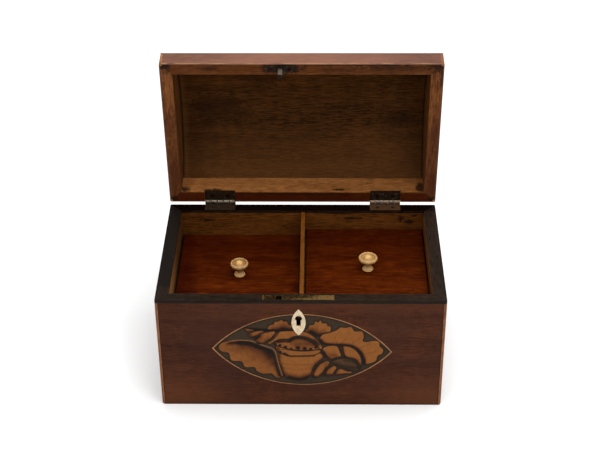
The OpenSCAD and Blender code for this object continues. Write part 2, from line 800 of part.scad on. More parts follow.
// A ring of drawn points, fitted to the panel
module drawn(ring) {
    translate([panel_x, panel_z]) scale([panel_w / drawn_w, panel_h / drawn_h])
        translate([-panel_x, 0]) polygon(closed_curve(ring));
}

module inlaid(rings) {
    difference() {
        for (ring = rings) on_front(veneer_t) drawn(ring);
        on_front(veneer_t + cut) escutcheon_outline();
    }
}

SHELLS = [CONCH, LEFT_WHORL, LEFT_LIP, UPPER_LIP, LOWER_LIP, COWRIE, FAR_SHELL, NEAR_BAND, FAR_BAND];
SPIRES = [SPIRE_TIP, SPIRE_TURN, LOW_WHORL, LOW_TURN, LOW_TIP];
CORALS = [LEFT_CORAL, RIGHT_CORAL];

module shell_inlay() {
    color(SHELL) inlaid(SHELLS);
}

module spire_inlay() {
    color(SHELL) inlaid(SPIRES);
}

module coral_inlay() {
    color(SHELL) inlaid(CORALS);
}

module leaf_inlay() {
    color(GROUND) inlaid([LEAF]);
}

module panel_ground() {
    color(GROUND) difference() {
        on_front(veneer_t) panel_outline(panel_string_w);
        for (ring = concat(SHELLS, SPIRES, CORALS, [LEAF])) on_front(veneer_t + cut) drawn(ring);
        on_front(veneer_t + cut) escutcheon_outline();
    }
}

module panel_stringing() {
    color(SATINWOOD) difference() {
        on_front(veneer_t) panel_outline(0);
        on_front(veneer_t + cut) panel_outline(panel_string_w);
        on_front(veneer_t + cut) escutcheon_outline();
    }
}

module escutcheon() {
    color(BONE) difference() {
        on_front(escutcheon_t) escutcheon_outline();
        on_front(escutcheon_t + cut) keyhole();
    }
}

// ---- lid ----

module lid_long_board(face) {
    color(MAHOGANY) opened() difference() {
        intersection() {
            translate([0, 0, lid_z]) linear_extrude(lid_crown) long_board_plan(face);
            across(-out_x, out_x) lid_section(top_in_r, out_y);
        }
        staple_plate_block(lid_z - cut, lid_z + staple_plate_t);
        for (side = [-1, 1]) leaf_pocket(side, wall_t + cut, lid_z - cut, lid_leaf_z + leaf_t);
        lid_screw_set(fit_gap);
    }
}

module lid_gable(face) {
    color(MAHOGANY) opened()
        across(face > 0 ? in_x : -core_x, face > 0 ? core_x : -in_x) lid_section(top_in_r, lap_y);
}

module lid_top_board() {
    color(MAHOGANY) opened() difference() {
        across(-core_x, core_x) difference() {
            lid_section(top_core_r, core_y);
            translate([0, arc_z]) circle(top_in_r, $fn = 128);
        }
        corner_columns(lid_z, lid_z + lid_crown);
    }
}

module lid_top_veneer() {
    color(MAHOGANY) opened() across(-out_x, out_x) difference() {
        lid_section(top_out_r, out_y);
        translate([0, arc_z]) circle(top_glue_r, $fn = 128);
    }
}

module lid_long_veneer(face) {
    low_y = face > 0 ? core_y : -out_y;
    color(MAHOGANY) opened() difference() {
        intersection() {
            block([corner_string_w - out_x, low_y, lid_z],
                [out_x - corner_string_w, low_y + veneer_t, lid_z + lid_crown]);
            across(-out_x, out_x) lid_section(top_core_r, out_y);
        }
        for (side = [-1, 1]) leaf_pocket(side, lid_leaf_in, lid_z - cut, pivot_z + knuckle_r + knuckle_room);
    }
}

module lid_side_veneer(face) {
    color(MAHOGANY) opened()
        across(face > 0 ? core_x : -out_x, face > 0 ? out_x : -core_x)
            lid_section(top_core_r, out_y - corner_string_w);
}

module lid_corner_stringing() {
    color(SATINWOOD) opened() intersection() {
        translate([0, 0, lid_z]) linear_extrude(lid_crown) intersection() {
            plan();
            corner_squares();
        }
        across(-out_x, out_x) lid_section(top_core_r, out_y);
    }
}

bottom_board();
front_board();
back_board();
side_board(-1);  // left_board
side_board(1);  // right_board
front_veneer();
back_veneer();
side_veneer(-1);  // left_veneer
side_veneer(1);  // right_veneer
case_corner_stringing();
front_rim_facing();
back_rim_facing();
left_rim_facing();
right_rim_facing();
partition();
ledge_strips(-in_x, part_left, left_seat);  // left_ledge_strips
ledge_strips(part_right, in_x, right_seat);  // right_ledge_strips
foil_lining(-in_x, part_left, left_seat);  // left_foil_lining
foil_lining(part_right, in_x, right_seat);  // right_foil_lining
panel_ground();
panel_stringing();
shell_inlay();
spire_inlay();
coral_inlay();
leaf_inlay();
escutcheon();
lock_plate();
lock_case();
lock_bolt();
lock_spring();
key_pin();
case_leaf(-1);  // left_case_leaf
case_leaf(1);  // right_case_leaf
hinge_pin(-1);  // left_hinge_pin
hinge_pin(1);  // right_hinge_pin
case_leaf_screws();
inner_lid(-in_x, part_left, left_seat, left_knob_x);  // left_inner_lid
inner_lid(part_right, in_x, right_seat, right_knob_x);  // right_inner_lid
knob(left_knob_x, left_seat);  // left_knob
knob(right_knob_x, right_seat);  // right_knob
lid_long_board(-1);  // lid_front_board
lid_long_board(1);  // lid_back_board
lid_gable(-1);  // lid_left_gable
lid_gable(1);  // lid_right_gable
lid_top_board();
lid_long_veneer(-1);  // lid_front_veneer
lid_long_veneer(1);  // lid_back_veneer
lid_side_veneer(-1);  // lid_left_veneer
lid_side_veneer(1);  // lid_right_veneer
lid_top_veneer();
lid_corner_stringing();
lid_leaf(-1);  // left_lid_leaf
lid_leaf(1);  // right_lid_leaf
lid_screws();
lock_staple();
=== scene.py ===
# %% [markdown]
# # A tea caddy, dressed
# The caddy's boards, veneers, hinges and lock come from the CAD frame at their real size.
# This notebook gives them their finish, and remakes the pieces whose softness the CAD leaves out:
# the bent top of the lid, the turned bone knobs, the inner lids and the sand-shaded shells.

# %% Load the frame
import json
import math

import bpy
import numpy as np
from mathutils import Matrix, Vector
from mathutils.geometry import delaunay_2d_cdt


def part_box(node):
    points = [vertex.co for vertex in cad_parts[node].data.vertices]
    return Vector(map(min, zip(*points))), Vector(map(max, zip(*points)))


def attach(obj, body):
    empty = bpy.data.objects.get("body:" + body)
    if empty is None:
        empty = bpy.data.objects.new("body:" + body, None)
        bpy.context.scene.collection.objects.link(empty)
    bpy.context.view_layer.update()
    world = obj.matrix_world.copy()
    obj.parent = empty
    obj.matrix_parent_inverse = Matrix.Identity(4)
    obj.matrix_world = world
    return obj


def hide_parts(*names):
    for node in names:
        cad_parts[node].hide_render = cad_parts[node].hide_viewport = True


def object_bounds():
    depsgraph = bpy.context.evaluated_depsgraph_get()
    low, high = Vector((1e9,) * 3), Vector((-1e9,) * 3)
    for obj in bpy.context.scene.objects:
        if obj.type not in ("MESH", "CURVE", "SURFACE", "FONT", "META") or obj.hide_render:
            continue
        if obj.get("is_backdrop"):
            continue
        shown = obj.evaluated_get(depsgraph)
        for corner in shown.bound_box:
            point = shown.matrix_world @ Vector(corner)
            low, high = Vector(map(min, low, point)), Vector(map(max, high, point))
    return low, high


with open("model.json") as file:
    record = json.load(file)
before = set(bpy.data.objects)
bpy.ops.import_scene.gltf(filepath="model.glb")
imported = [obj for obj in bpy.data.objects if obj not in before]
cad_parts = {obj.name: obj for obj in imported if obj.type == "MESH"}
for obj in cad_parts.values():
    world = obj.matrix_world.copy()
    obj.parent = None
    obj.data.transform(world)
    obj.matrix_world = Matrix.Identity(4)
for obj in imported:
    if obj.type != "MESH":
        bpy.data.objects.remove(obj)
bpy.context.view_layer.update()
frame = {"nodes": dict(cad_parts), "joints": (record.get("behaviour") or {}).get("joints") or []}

MM = 0.001

# %% [markdown]
# The lid is stored open, so a pattern or shape on it is thought out with the lid shut and then turned
# back about the hinge line. Both the line and the angle are read from the frame's own joint.

# %% The hinge line
lid_hinge = next(joint for joint in frame["joints"] if joint["name"] == "lid_hinge")
PIVOT = np.array(lid_hinge["pos_m"])
OPEN = math.radians(lid_hinge["range_deg"][1])


def turned(points, angle):
    """Points of the lid turned about the hinge line: y' = y cos a + z sin a, z' = z cos a - y sin a."""
    y, z = (points - PIVOT)[..., 1], (points - PIVOT)[..., 2]
    return np.stack([
        points[..., 0],
        y * math.cos(angle) + z * math.sin(angle) + PIVOT[1],
        z * math.cos(angle) - y * math.sin(angle) + PIVOT[2],
    ], axis=-1)


def opened(points):
    """Points of the shut lid, turned back by the open angle."""
    return turned(points, OPEN)


def shut(points):
    """Points of the open lid, turned shut again."""
    return turned(points, -OPEN)


def node_points(name):
    """All the points of a CAD node, in metres."""
    mesh = frame["nodes"][name].data
    points = np.zeros(len(mesh.vertices) * 3)
    mesh.vertices.foreach_get("co", points)
    return points.reshape(-1, 3)


print("lid opens", round(math.degrees(OPEN)), "degrees about", PIVOT)

# %% [markdown]
# The caddy's half width and half depth, and the height where its lid meets its case, are measured on the
# frame's own nodes. Much of what follows is placed by them.

# %% Sizes taken from the frame
def node_box(name):
    """Lowest and highest corner of a CAD node, as arrays in metres."""
    low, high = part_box(name)
    return np.array(low), np.array(high)


HALF_X = -node_box("left_veneer")[0][0]
HALF_Y = -node_box("front_veneer")[0][1]
LID_Z = shut(node_points("lid_front_veneer"))[:, 2].min()
print("half width, half depth and the height of the lid's rim:", HALF_X, HALF_Y, LID_Z)

# %% [markdown]
# ## The camera
# It stands in front of the caddy and a little to its right, and looks down into the compartments.

# %% Camera
CAMERA_PLACE = np.array([12.70, -795.67, 644.62]) * MM
CAMERA_PITCH, CAMERA_YAW, CAMERA_ROLL = (math.radians(a) for a in (33.676, -0.988, -0.440))
CAMERA_LENS = 80.83
camera_data = bpy.data.cameras.new("camera")
camera_data.lens = CAMERA_LENS
camera_data.sensor_width = 36
camera = bpy.data.objects.new("camera", camera_data)
camera.matrix_world = (
    Matrix.Translation(CAMERA_PLACE)
    @ Matrix.Rotation(-CAMERA_YAW, 4, "Z")
    @ Matrix.Rotation(math.pi / 2 - CAMERA_PITCH, 4, "X")
    @ Matrix.Rotation(CAMERA_ROLL, 4, "Z")
)
bpy.context.collection.objects.link(camera)
bpy.context.scene.camera = camera
bpy.context.scene.view_settings.view_transform = "Standard"
print("camera with a lens of", CAMERA_LENS, "mm stands at", CAMERA_PLACE)

# %% [markdown]
# ## Writing shaders as sums
# A finish is a recipe of noise, ramps and mixes. To read it as arithmetic, one small class wraps a
# node's output: adding two values adds a Math node, and a colour or place uses Vector Math instead.

# %% Value
def sign(operation, swapped=False):
    """A method for one sign of arithmetic; it is swapped when the value stands to the sign's right."""
    def method(self, other):
        return self.maths(operation, other, self) if swapped else self.maths(operation, self, other)
    return method


class Value:
    """An output socket; arithmetic on it adds the nodes."""

    def __init__(self, recipe, socket):
        self.recipe = recipe
        self.socket = socket

    def maths(self, operation, *terms):
        wide = any(
            isinstance(term, tuple) or (isinstance(term, Value) and term.socket.type in ("VECTOR", "RGBA"))
            for term in terms
        )
        kind = "ShaderNodeVectorMath" if wide else "ShaderNodeMath"
        return self.recipe.node(kind, {"operation": operation}, dict(enumerate(terms)))

    __add__, __radd__ = sign("ADD"), sign("ADD", True)
    __sub__, __rsub__ = sign("SUBTRACT"), sign("SUBTRACT", True)
    __mul__, __rmul__ = sign("MULTIPLY"), sign("MULTIPLY", True)
    __truediv__, __pow__ = sign("DIVIDE"), sign("POWER")
    at_least, at_most = sign("MAXIMUM"), sign("MINIMUM")

    def size(self):
        return self.maths("ABSOLUTE", self)

# %% [markdown]
# A recipe holds one material, and its methods make the nodes. One method makes any kind of node from its
# settings and the values of its sockets.

# %% Recipe
class Recipe:
    """One material, with short words for the nodes that its finish needs."""

    def __init__(self, name):
        self.material = bpy.data.materials.new(name)
        self.material.use_nodes = True
        self.tree = self.material.node_tree
        self.shader = self.tree.nodes["Principled BSDF"]

    def feed(self, socket, value):
        if isinstance(value, Value):
            self.tree.links.new(value.socket, socket)
        elif socket.type == "RGBA":
            socket.default_value = (*value[:3], 1)
        elif socket.type == "VECTOR" and not isinstance(value, tuple):
            socket.default_value = (value, value, value)
        else:
            socket.default_value = value

    def node(self, kind, settings=None, inputs=None, out=0):
        made = self.tree.nodes.new(kind)
        for name, value in (settings or {}).items():
            setattr(made, name, value)
        for key, value in (inputs or {}).items():
            self.feed(made.inputs[key], value)
        return Value(self, made.outputs[out])

    def place(self):
        """Where the surface is, in millimetres in the frame of the CAD."""
        where = self.node("ShaderNodeTexCoord", out="Object")
        return self.node("ShaderNodeMapping", {}, {"Vector": where, "Scale": (1 / MM,) * 3})

    def place_shut(self):
        """Where a point of the lid would be with the lid shut, in millimetres."""
        centre = Vector(PIVOT) / MM
        shift = centre - Matrix.Rotation(OPEN, 3, "X") @ centre
        turn = {"Vector": self.place(), "Rotation": (OPEN, 0, 0), "Location": tuple(shift)}
        return self.node("ShaderNodeMapping", {}, turn)

    def mix(self, factor, first, second):
        """From the first colour to the second as the factor goes from 0 to 1."""
        return self.node("ShaderNodeMix", {"data_type": "RGBA"}, {0: factor, 6: first, 7: second}, out=2)

    def bump(self, height, depth_mm):
        """A normal from a height of 0 to 1, this many millimetres deep."""
        inputs = {"Height": height, "Distance": depth_mm * MM, "Strength": 1}
        return self.node("ShaderNodeBump", {}, inputs)

    def finish(self, **sockets):
        """Feeds the shader: base_color, roughness, metallic, normal and the like."""
        for name, value in sockets.items():
            words = name.replace("_", " ").title().replace("Ior", "IOR")
            self.feed(self.shader.inputs[words], value)
        print(self.material.name, "is made of", len(self.tree.nodes), "nodes")
        return self.material

# %% [markdown]
# Four functions of a value do most of the work. Axes takes a place apart, noise gives a soft uneven
# number, ramp turns any number into a mask with soft edges, and tinted lays colours over one another,
# each as thick as its mask says.

# %% Noise, ramps and tints
def axes(place):
    """The three numbers of a place."""
    return [place.recipe.node("ShaderNodeSeparateXYZ", {}, {0: place}, out=axis) for axis in "XYZ"]


def noise(place, detail=3, rough=0.5, bend=0):
    """Soft cloudy value about 0.5; the place is already scaled to one blotch a unit."""
    inputs = {"Vector": place, "Scale": 1, "Detail": detail, "Roughness": rough, "Distortion": bend}
    return place.recipe.node("ShaderNodeTexNoise", {}, inputs)


def ramp(value, low, high):
    """0 at low, 1 at high, smooth between; low may be the larger."""
    inputs = {"Value": value, "From Min": low, "From Max": high}
    return value.recipe.node("ShaderNodeMapRange", {"interpolation_type": "SMOOTHSTEP"}, inputs)


def tinted(colour, *layers):
    """Lays each (how much, tint) over a colour in turn."""
    for amount, tint in layers:
        colour = colour.recipe.mix(amount, colour, tint)
    return colour

# %% [markdown]
# ## Making pieces
# A new piece is worked out as one array of points with numpy and handed to Blender whole. Each one
# says which CAD node it stands for, so the frame hides that node, and which body carries it.

# %% New pieces
def new_piece(name, points, faces, material, body, slot, stands_for=(), **attributes):
    """A mesh object from an array of points and a list of faces, smooth-shaded."""
    mesh = bpy.data.meshes.new(name)
    mesh.from_pydata(points.tolist(), [], faces)
    for label, values in attributes.items():
        layer = mesh.attributes.new(label, "FLOAT", "POINT")
        layer.data.foreach_set("value", np.asarray(values, np.float32))
    mesh.materials.append(material)
    mesh.shade_smooth()
    mesh.update()
    piece = bpy.data.objects.new(name, mesh)
    bpy.context.collection.objects.link(piece)
    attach(piece, body)
    if stands_for:
        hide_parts(*stands_for)
    print(name, len(points), "points")
    return piece


def grid_faces(rows, columns, wrap_columns=False):
    """Quads of a grid of points stored row by row; wrapped columns join the last one to the first."""
    r = np.arange(rows - 1)[:, None]
    c = np.arange(columns if wrap_columns else columns - 1)[None, :]
    r2, c2 = r + 1, (c + 1) % columns
    quads = np.stack([r * columns + c, r * columns + c2, r2 * columns + c2, r2 * columns + c], axis=-1)
    return quads.reshape(-1, 4)


def merged(points, quads):
    """Joins points that share a place, and drops the quads that collapse."""
    keys = np.round(points / (0.001 * MM)).astype(np.int64)
    _, first, index = np.unique(keys, axis=0, return_index=True, return_inverse=True)
    quads = index.reshape(-1)[quads]
    whole = (quads[:, 0] != quads[:, 2]) & (quads[:, 1] != quads[:, 3])
    return points[first], quads[whole]

# %% [markdown]
# Planed boards get a soft box, turned or bent work starts from a smooth curve, and a slow waver keeps a
# hand-planed face from looking like glass.

# %% Soft boxes and curves
def stations(low, high, radius, step):
    """Places along one side of a box: close together in the rounding at both ends, step apart between."""
    angles = np.tan(np.radians(np.linspace(45, 0, 4)))
    start = low + radius * (1 - angles)
    middle = np.linspace(low + radius, high - radius, max(2, int((high - low) / step) + 1))
    return np.unique(np.concatenate([start, middle, low + high - start]).round(9))


def soft_box(low, high, radius, step):
    """A box with rounded edges. A point of the sharp box is clamped to an inner box, one radius smaller,
    and put back one radius away from there: p = q + radius (s - q) / |s - q|."""
    low, high = np.asarray(low, float), np.asarray(high, float)
    lines = [stations(low[i], high[i], radius, step) for i in range(3)]
    points, quads, count = [], [], 0
    for axis in range(3):
        u, v = (axis + 1) % 3, (axis + 2) % 3
        grid_u, grid_v = np.meshgrid(lines[u], lines[v], indexing="ij")
        for side, value in enumerate((low[axis], high[axis])):
            face = np.zeros(grid_u.shape + (3,))
            face[..., axis], face[..., u], face[..., v] = value, grid_u, grid_v
            quad = grid_faces(*grid_u.shape) + count
            quads.append(quad[:, ::-1] if side else quad)
            points.append(face.reshape(-1, 3))
            count += grid_u.size
    sharp = np.concatenate(points)
    inner = np.clip(sharp, low + radius, high - radius)
    away = sharp - inner
    soft = inner + radius * away / np.linalg.norm(away, axis=1, keepdims=True)
    return merged(soft, np.concatenate(quads))


def rounded_path(points, steps):
    """Catmull-Rom curve through a row of points, with its ends repeated."""
    ends = np.concatenate([points[:1], points, points[-1:]])
    t = np.linspace(0, 1, steps, endpoint=False)[:, None]
    a, b, c, d = (ends[i:len(ends) - 3 + i, None] for i in range(4))
    curve = 0.5 * (2 * b + (c - a) * t + (2 * a - 5 * b + 4 * c - d) * t ** 2
                   + (3 * b - a - 3 * c + d) * t ** 3)
    return np.concatenate([curve.reshape(-1, points.shape[1]), points[-1:]])


def waver(points, pitch, seed):
    """A slow, uneven number from -1 to 1 at each point: three sine waves that cross, about pitch apart."""
    draw = np.random.default_rng(seed)
    waves = draw.normal(size=(3, 3)) * 2 * math.pi / pitch
    phases = draw.uniform(0, 2 * math.pi, 3)
    return np.sin(points @ waves.T + phases).mean(axis=1)

# %% [markdown]
# ## Wood
# Every wooden piece shows the same four things at different strengths: slow bands of darker and lighter
# timber, fine streaks that run with the grain, short dark pores, and dirt or wear near an edge. One
# recipe holds them all. Noise is stretched along the grain by dividing that coordinate.

# %% The wood recipe
GRAIN_STRETCH = 9


def with_grain(axis, across):
    """Scale of a place so that a pattern is stretched along the grain and `across` millimetres wide."""
    return tuple(1 / (across * GRAIN_STRETCH) if i == axis else 1 / across for i in range(3))


def timber(place, dark, light, axis, streak, pores, band_mm):
    """Colour and height of bare timber, before dirt and wear."""
    bands = noise(place * with_grain(axis, band_mm), 2, 0.5, 0.5)
    streaks = noise(place * with_grain(axis, 0.9), 3, 0.65, 0.3)
    figure = noise(place * with_grain((axis + 1) % 3, 5), 1, 0.5)
    pore_noise = noise(place * with_grain(axis, 0.33), 1, 0.5)
    pore = ramp(pore_noise, 0.6, 0.7)
    tone = ramp(bands * (0.9 - streak) + streaks * streak + figure * 0.1, 0.32, 0.68)
    colour = tinted(place.recipe.mix(tone, dark, light), (pore * pores, tuple(0.3 * part for part in dark)))
    return colour, streaks * 0.3 - pore * pores, streaks


def wood(name, dark, light, axis=0, shut=False, streak=0.5, pores=0.5, band_mm=12,
         roughness=0.5, sheen=0.12, coat=0, seed=0, wear=None):
    """Timber with its grain along one axis. `wear` is a function of the place and the colour."""
    recipe = Recipe(name)
    where = recipe.place_shut() if shut else recipe.place()
    place = where + (seed * 37, seed * 11, seed * 23)
    colour, height, streaks = timber(place, dark, light, axis, streak, pores, band_mm)
    if wear:
        colour = wear(where, colour)
    return recipe.finish(base_color=colour, roughness=streaks * 0.2 + (roughness - 0.1),
                         normal=recipe.bump(height, 0.04), specular_ior_level=sheen, coat_weight=coat,
                         coat_roughness=0.3)

# %% [markdown]
# ## Dirt, stains and worn edges
# Age shows most where iron blackened the wood round it, where tea was spilled, and where hands rubbed an
# arris pale. A stain is a ragged blot round a chosen point. An edge is found from the place
# alone, because the case's own faces lie on known planes.

# %% Blots
BLACKENED = (0.006, 0.004, 0.003)


def blot(where, centre, size, ragged=1.1):
    """1 inside a ragged patch round a point in millimetres, 0 outside; size is its half extent."""
    offset = (where - centre) / size
    length = where.recipe.node("ShaderNodeVectorMath", {"operation": "LENGTH"}, {0: offset}, out=1)
    uneven = noise(where * 0.35, 4, 0.7)
    return ramp(length + (uneven - 0.5) * (2 * ragged), 1.2, 0.45)


def stained(blots, colour=BLACKENED, strength=0.9):
    """A wear function that darkens round each listed point."""
    def wear(where, base):
        return tinted(base, *((blot(where, centre, size) * strength, colour) for centre, size in blots))
    return wear

# %% [markdown]
# ## The outside
# The case's mahogany is dark and a little dirty, and the lid's is paler and rubbed. The faces of each
# differ mostly in which way the grain runs.

# %% Case veneers
MAHOGANY_DARK = (0.026, 0.0067, 0.0026)
MAHOGANY_LIGHT = (0.084, 0.0250, 0.0098)
STRING_W = 2
STRING_EDGE = HALF_X / MM - STRING_W


def case_wear(where, colour):
    """Wax and dirt lie in patches and at the foot, and a dark glue line runs beside the corner stringing."""
    x, _, up = axes(where)
    across = x.size()
    patches = noise(where * 0.028, 3, 0.6)
    foot = ramp(up + patches * 8, 8, 3)
    rubbed = ramp(up + patches * 12, 44, 8)
    near_ends = ramp(across, 40, 85)
    line = ramp((across - (STRING_EDGE - 0.25)).size(), 0.45, 0.15)
    dashes = ramp(noise(where * (0.12, 0.9, 0.9), 2, 0.6), 0.6, 0.72)
    shadow = ramp(x, -30, -95) * ramp(up, 10, 70)
    below_facing = ramp(up, 78, 88) * ramp(x, -70, -10)
    return tinted(
        colour,
        (ramp(patches, 0.42, 0.62) * 0.45, (0.038, 0.014, 0.009)),
        (rubbed * (near_ends * 0.3 + 0.1), (0.14, 0.045, 0.016)),
        (foot * 0.5, (0.02, 0.008, 0.005)),
        (line * 0.8, BLACKENED),
        (dashes * 0.3, (0.016, 0.005, 0.003)),
        (shadow * 0.4, (0.03, 0.01, 0.006)),
        (below_facing * 0.2, (0.15, 0.048, 0.018)),
    )


def case_veneer(name, **grain):
    """A face of the case; `grain` says which way it runs."""
    return wood(name, MAHOGANY_DARK, MAHOGANY_LIGHT, pores=0.8, sheen=0.05, wear=case_wear, **grain)


veneer = case_veneer("case_veneer")
side_veneer = case_veneer("case_side_veneer", axis=1, seed=1)

# %% [markdown]
# The lid has been handled most. Its lower front arris is rubbed to a pale line with a painted highlight on
# it, which breaks up here and there. A painted sheen lies across the middle of its front.

# %% Lid veneers
def lid_wear(where, colour):
    """The outside of the lid: rubbed pale along its lower arris, with a painted highlight there, darker
    patches of old wax, and a painted sheen across the middle of the front.
    """
    x, y, z = axes(where)
    up = z - LID_Z / MM
    broken = noise(where * (0.09, 1, 1), 3, 0.6)
    patches = noise(where * (0.02, 0.05, 0.05), 3, 0.6)
    # painted sheen: the middle of the lid's front is made lighter
    middle = ramp(x.size(), 85, 15)
    # the pale arris is rubbed wear, with a painted highlight laid on it
    pale = ramp(up, 0.9, 0.4) * ramp(broken, 0.38, 0.6) * ramp(y, -60, -60.9)
    return tinted(
        colour,
        (ramp(patches, 0.45, 0.65) * 0.45, (0.07, 0.02, 0.012)),
        (ramp(x, 20, 90) * 0.15, (0.07, 0.02, 0.012)),
        (middle * 0.28, (0.36, 0.15, 0.085)),
        (pale * 0.6, (0.5, 0.26, 0.1)),
    )


lid_veneer = wood("lid_veneer", (0.085, 0.026, 0.012), (0.2, 0.075, 0.038), shut=True, roughness=0.45,
                  sheen=0.3, coat=0.12, seed=2, wear=lid_wear)
lid_side_veneer = wood("lid_side_veneer", (0.07, 0.021, 0.01), (0.17, 0.06, 0.03), axis=1, shut=True,
                       pores=0.6, sheen=0.25, seed=3, wear=lid_wear)

# %% [markdown]
# Light stringing runs down the corners and round the panel.

# %% Stringing
stringing_wood = wood("stringing", (0.11, 0.036, 0.012), (0.26, 0.105, 0.038), axis=2, streak=0.7, pores=0.2,
                      seed=11)
lid_stringing = wood("lid_stringing", (0.16, 0.055, 0.018), (0.4, 0.18, 0.07), axis=2, shut=True, streak=0.7,
                     pores=0.2, seed=11)
panel_line = wood("panel_line", (0.17, 0.07, 0.024), (0.36, 0.17, 0.065), pores=0.3, seed=12)

# %% [markdown]
# ## The lid's rim
# The boards' lower edges show as a mitred frame: grain runs along each side, and the joints are dark
# lines across the corners. The rim is one plane of the shut lid, so one finish serves all four boards:
# where a point lies on that plane it takes the rim's colour, and elsewhere the colour of the inside.

# %% Stains on the lid's rim
RIM_DARK, RIM_LIGHT = (0.05, 0.0135, 0.003), (0.215, 0.075, 0.021)
# Each stain: x and y of its middle, its half extents, and its depth.
RIM_BLOTS = [
    (-13, -57.2, 15.5, 5.6, 1), (-98.5, -58.5, 8, 2.6, 0.8), (-95.5, -55.5, 3.5, 5, 0.55),
    (95.5, -58, 6.5, 4, 0.8), (98.8, -50, 1.6, 12, 0.7), (-97.5, 58.5, 4, 3, 0.8),
    (97.5, 58.5, 4, 3, 0.8), (40, -60.3, 46, 1.7, 0.7), (66, -57.6, 26, 2.6, 0.45),
    (-60, -60.8, 24, 1.2, 0.7), (-66, -56.6, 7, 2.2, 0.5), (25, -56, 16, 2, 0.35),
    (-99.2, -30, 1.2, 16, 0.5), (-8, 53.5, 60, 1.4, 0.5), (58, -56, 34, 5, 0.25),
]
RED_BLOTS = [
    (-97, -8, 5, 10, 0.6), (98, -4, 5, 18, 0.6), (97, 44, 5, 12, 0.6),
    (-95, 36, 3, 16, 0.6), (0, 60, 60, 1.6, 0.6),
]


def rim_stains(where, blots, stain, strength=1):
    """Layers of stain that lie on the rim's plane."""
    return [
        (blot(where, (x, y, LID_Z / MM), (half_x, half_y, 3)) * (strength * depth), stain)
        for x, y, half_x, half_y, depth in blots
    ]

# %% [markdown]
# On the rim's plane, across - deep says which side of the mitre a point is on: it grows towards the ends
# and is level with the mitre where it equals the half width less the half depth.

# %% Rim and inside of the lid
def lid_board(name, dark, light, axis, seed, inside_blots=()):
    """A board of the lid: its inside colour, and the mitred rim colour on the rim's plane."""
    recipe = Recipe(name)
    where = recipe.place_shut()
    shifted = where + (seed * 37, seed * 11, seed * 23)
    inside, height, streaks = timber(shifted, dark, light, axis, 0.55, 0.5, 10)
    inside = stained(inside_blots, BLACKENED, 0.85)(where, inside)
    x, y, up = axes(where)
    across, deep = x.size(), y.size()
    nearer_end = (HALF_Y - HALF_X) / MM + across - deep
    along_x, along_y = (timber(shifted, RIM_DARK, RIM_LIGHT, way, 0.6, 0.5, 5)[0] for way in (0, 1))
    on_end = ramp(nearer_end, -0.1, 0.1)
    back = ramp(y, 50, 54) * (1 - on_end)
    front = ramp(y, -50, -54) * (1 - on_end)
    towards_back = on_end * ramp(y, -30, 30)
    to_edge = (HALF_X / MM - across).at_most(HALF_Y / MM - deep)
    grimy = ramp(to_edge, 1.6, 0.2) * ramp(noise(where * 0.12), 0.4, 0.6)
    rim = tinted(
        recipe.mix(ramp(nearer_end, -0.05, 0.05), along_x, along_y),
        (front * 0.6, (0.052, 0.012, 0.0008)),
        (towards_back * 0.5, (0.045, 0.0115, 0.004)),
        (back * 0.85, (0.044, 0.004, 0.0001)),
        *rim_stains(where, RED_BLOTS, (0.055, 0.012, 0.005)),
        *rim_stains(where, RIM_BLOTS, BLACKENED, 0.95),
        (grimy * 0.45, BLACKENED),
        (ramp(nearer_end.size(), 0.45, 0.15) * 0.85, BLACKENED),
    )
    on_rim = ramp(up, LID_Z / MM + 0.12, LID_Z / MM + 0.06)
    colour = recipe.mix(on_rim, inside, rim)
    return recipe.finish(base_color=colour, roughness=streaks * 0.2 + 0.4, normal=recipe.bump(height, 0.04),
                         specular_ior_level=0.05)


LID_BACK_BLOTS = [
    ((-66, 52, 95), (9, 3, 2.6)), ((88.5, 52, 99), (4, 4, 7)),
    ((-88.5, 52, 96), (4, 4, 4)), ((28, 52, 96), (6, 3, 1.6)),
]
lid_front_wood = lid_board("lid_front_wood", (0.05, 0.018, 0.005), (0.14, 0.055, 0.018), 0, 5)
# painted light: the back board's inside is coloured far lighter than the front board's, as the face that
# looks up when the lid is open
lid_back_wood_painted_light = lid_board("lid_back_wood_painted_light", (0.135, 0.046, 0.0105), (0.41, 0.162, 0.047), 0, 6, LID_BACK_BLOTS)
gable_wood = lid_board("gable_wood", (0.056, 0.0175, 0.0043), (0.175, 0.063, 0.0165), 1, 7)

# %% [markdown]
# The top board's hollow side is the darkest wood of the lid.

# %% Inside of the lid's top
LID_STAINS = [
    ((-62, 0, 130), (24, 16, 12)), ((-30, -30, 126), (20, 7, 9)),
    ((70, 10, 128), (16, 8, 12)), ((84, -40, 120), (18, 16, 14)),
    ((-86, -46, 120), (14, 10, 14)),
]


def lid_inside_wear(where, colour):
    """Dark old patches, painted light on the stretch towards the hinges and near the left gable, and grime
    where the top meets the gables.
    """
    x, y, _ = axes(where)
    colour = stained(LID_STAINS, (0.016, 0.0055, 0.0016), 0.6)(where, colour)
    return tinted(
        colour,
        # painted light: lighter towards the hinges
        (ramp(y, 8, 48) * 0.3, (0.13, 0.048, 0.011)),
        # painted light thrown back from the left gable onto the left end
        (ramp(x, -84, -90) * 0.25, (0.19, 0.075, 0.02)),
        (ramp(x.size(), 89.4, 90.6) * 0.8, BLACKENED),
    )


lid_inside = wood("lid_inside", (0.0165, 0.0052, 0.0008), (0.088, 0.031, 0.0063), shut=True, streak=0.65,
                  pores=0.6, roughness=0.6, sheen=0.04, band_mm=9, seed=4, wear=lid_inside_wear)

# %% [markdown]
# ## Inside the case
# Above the inner lids the boards show bare, with a few black stains. What lies below them is pale wood.

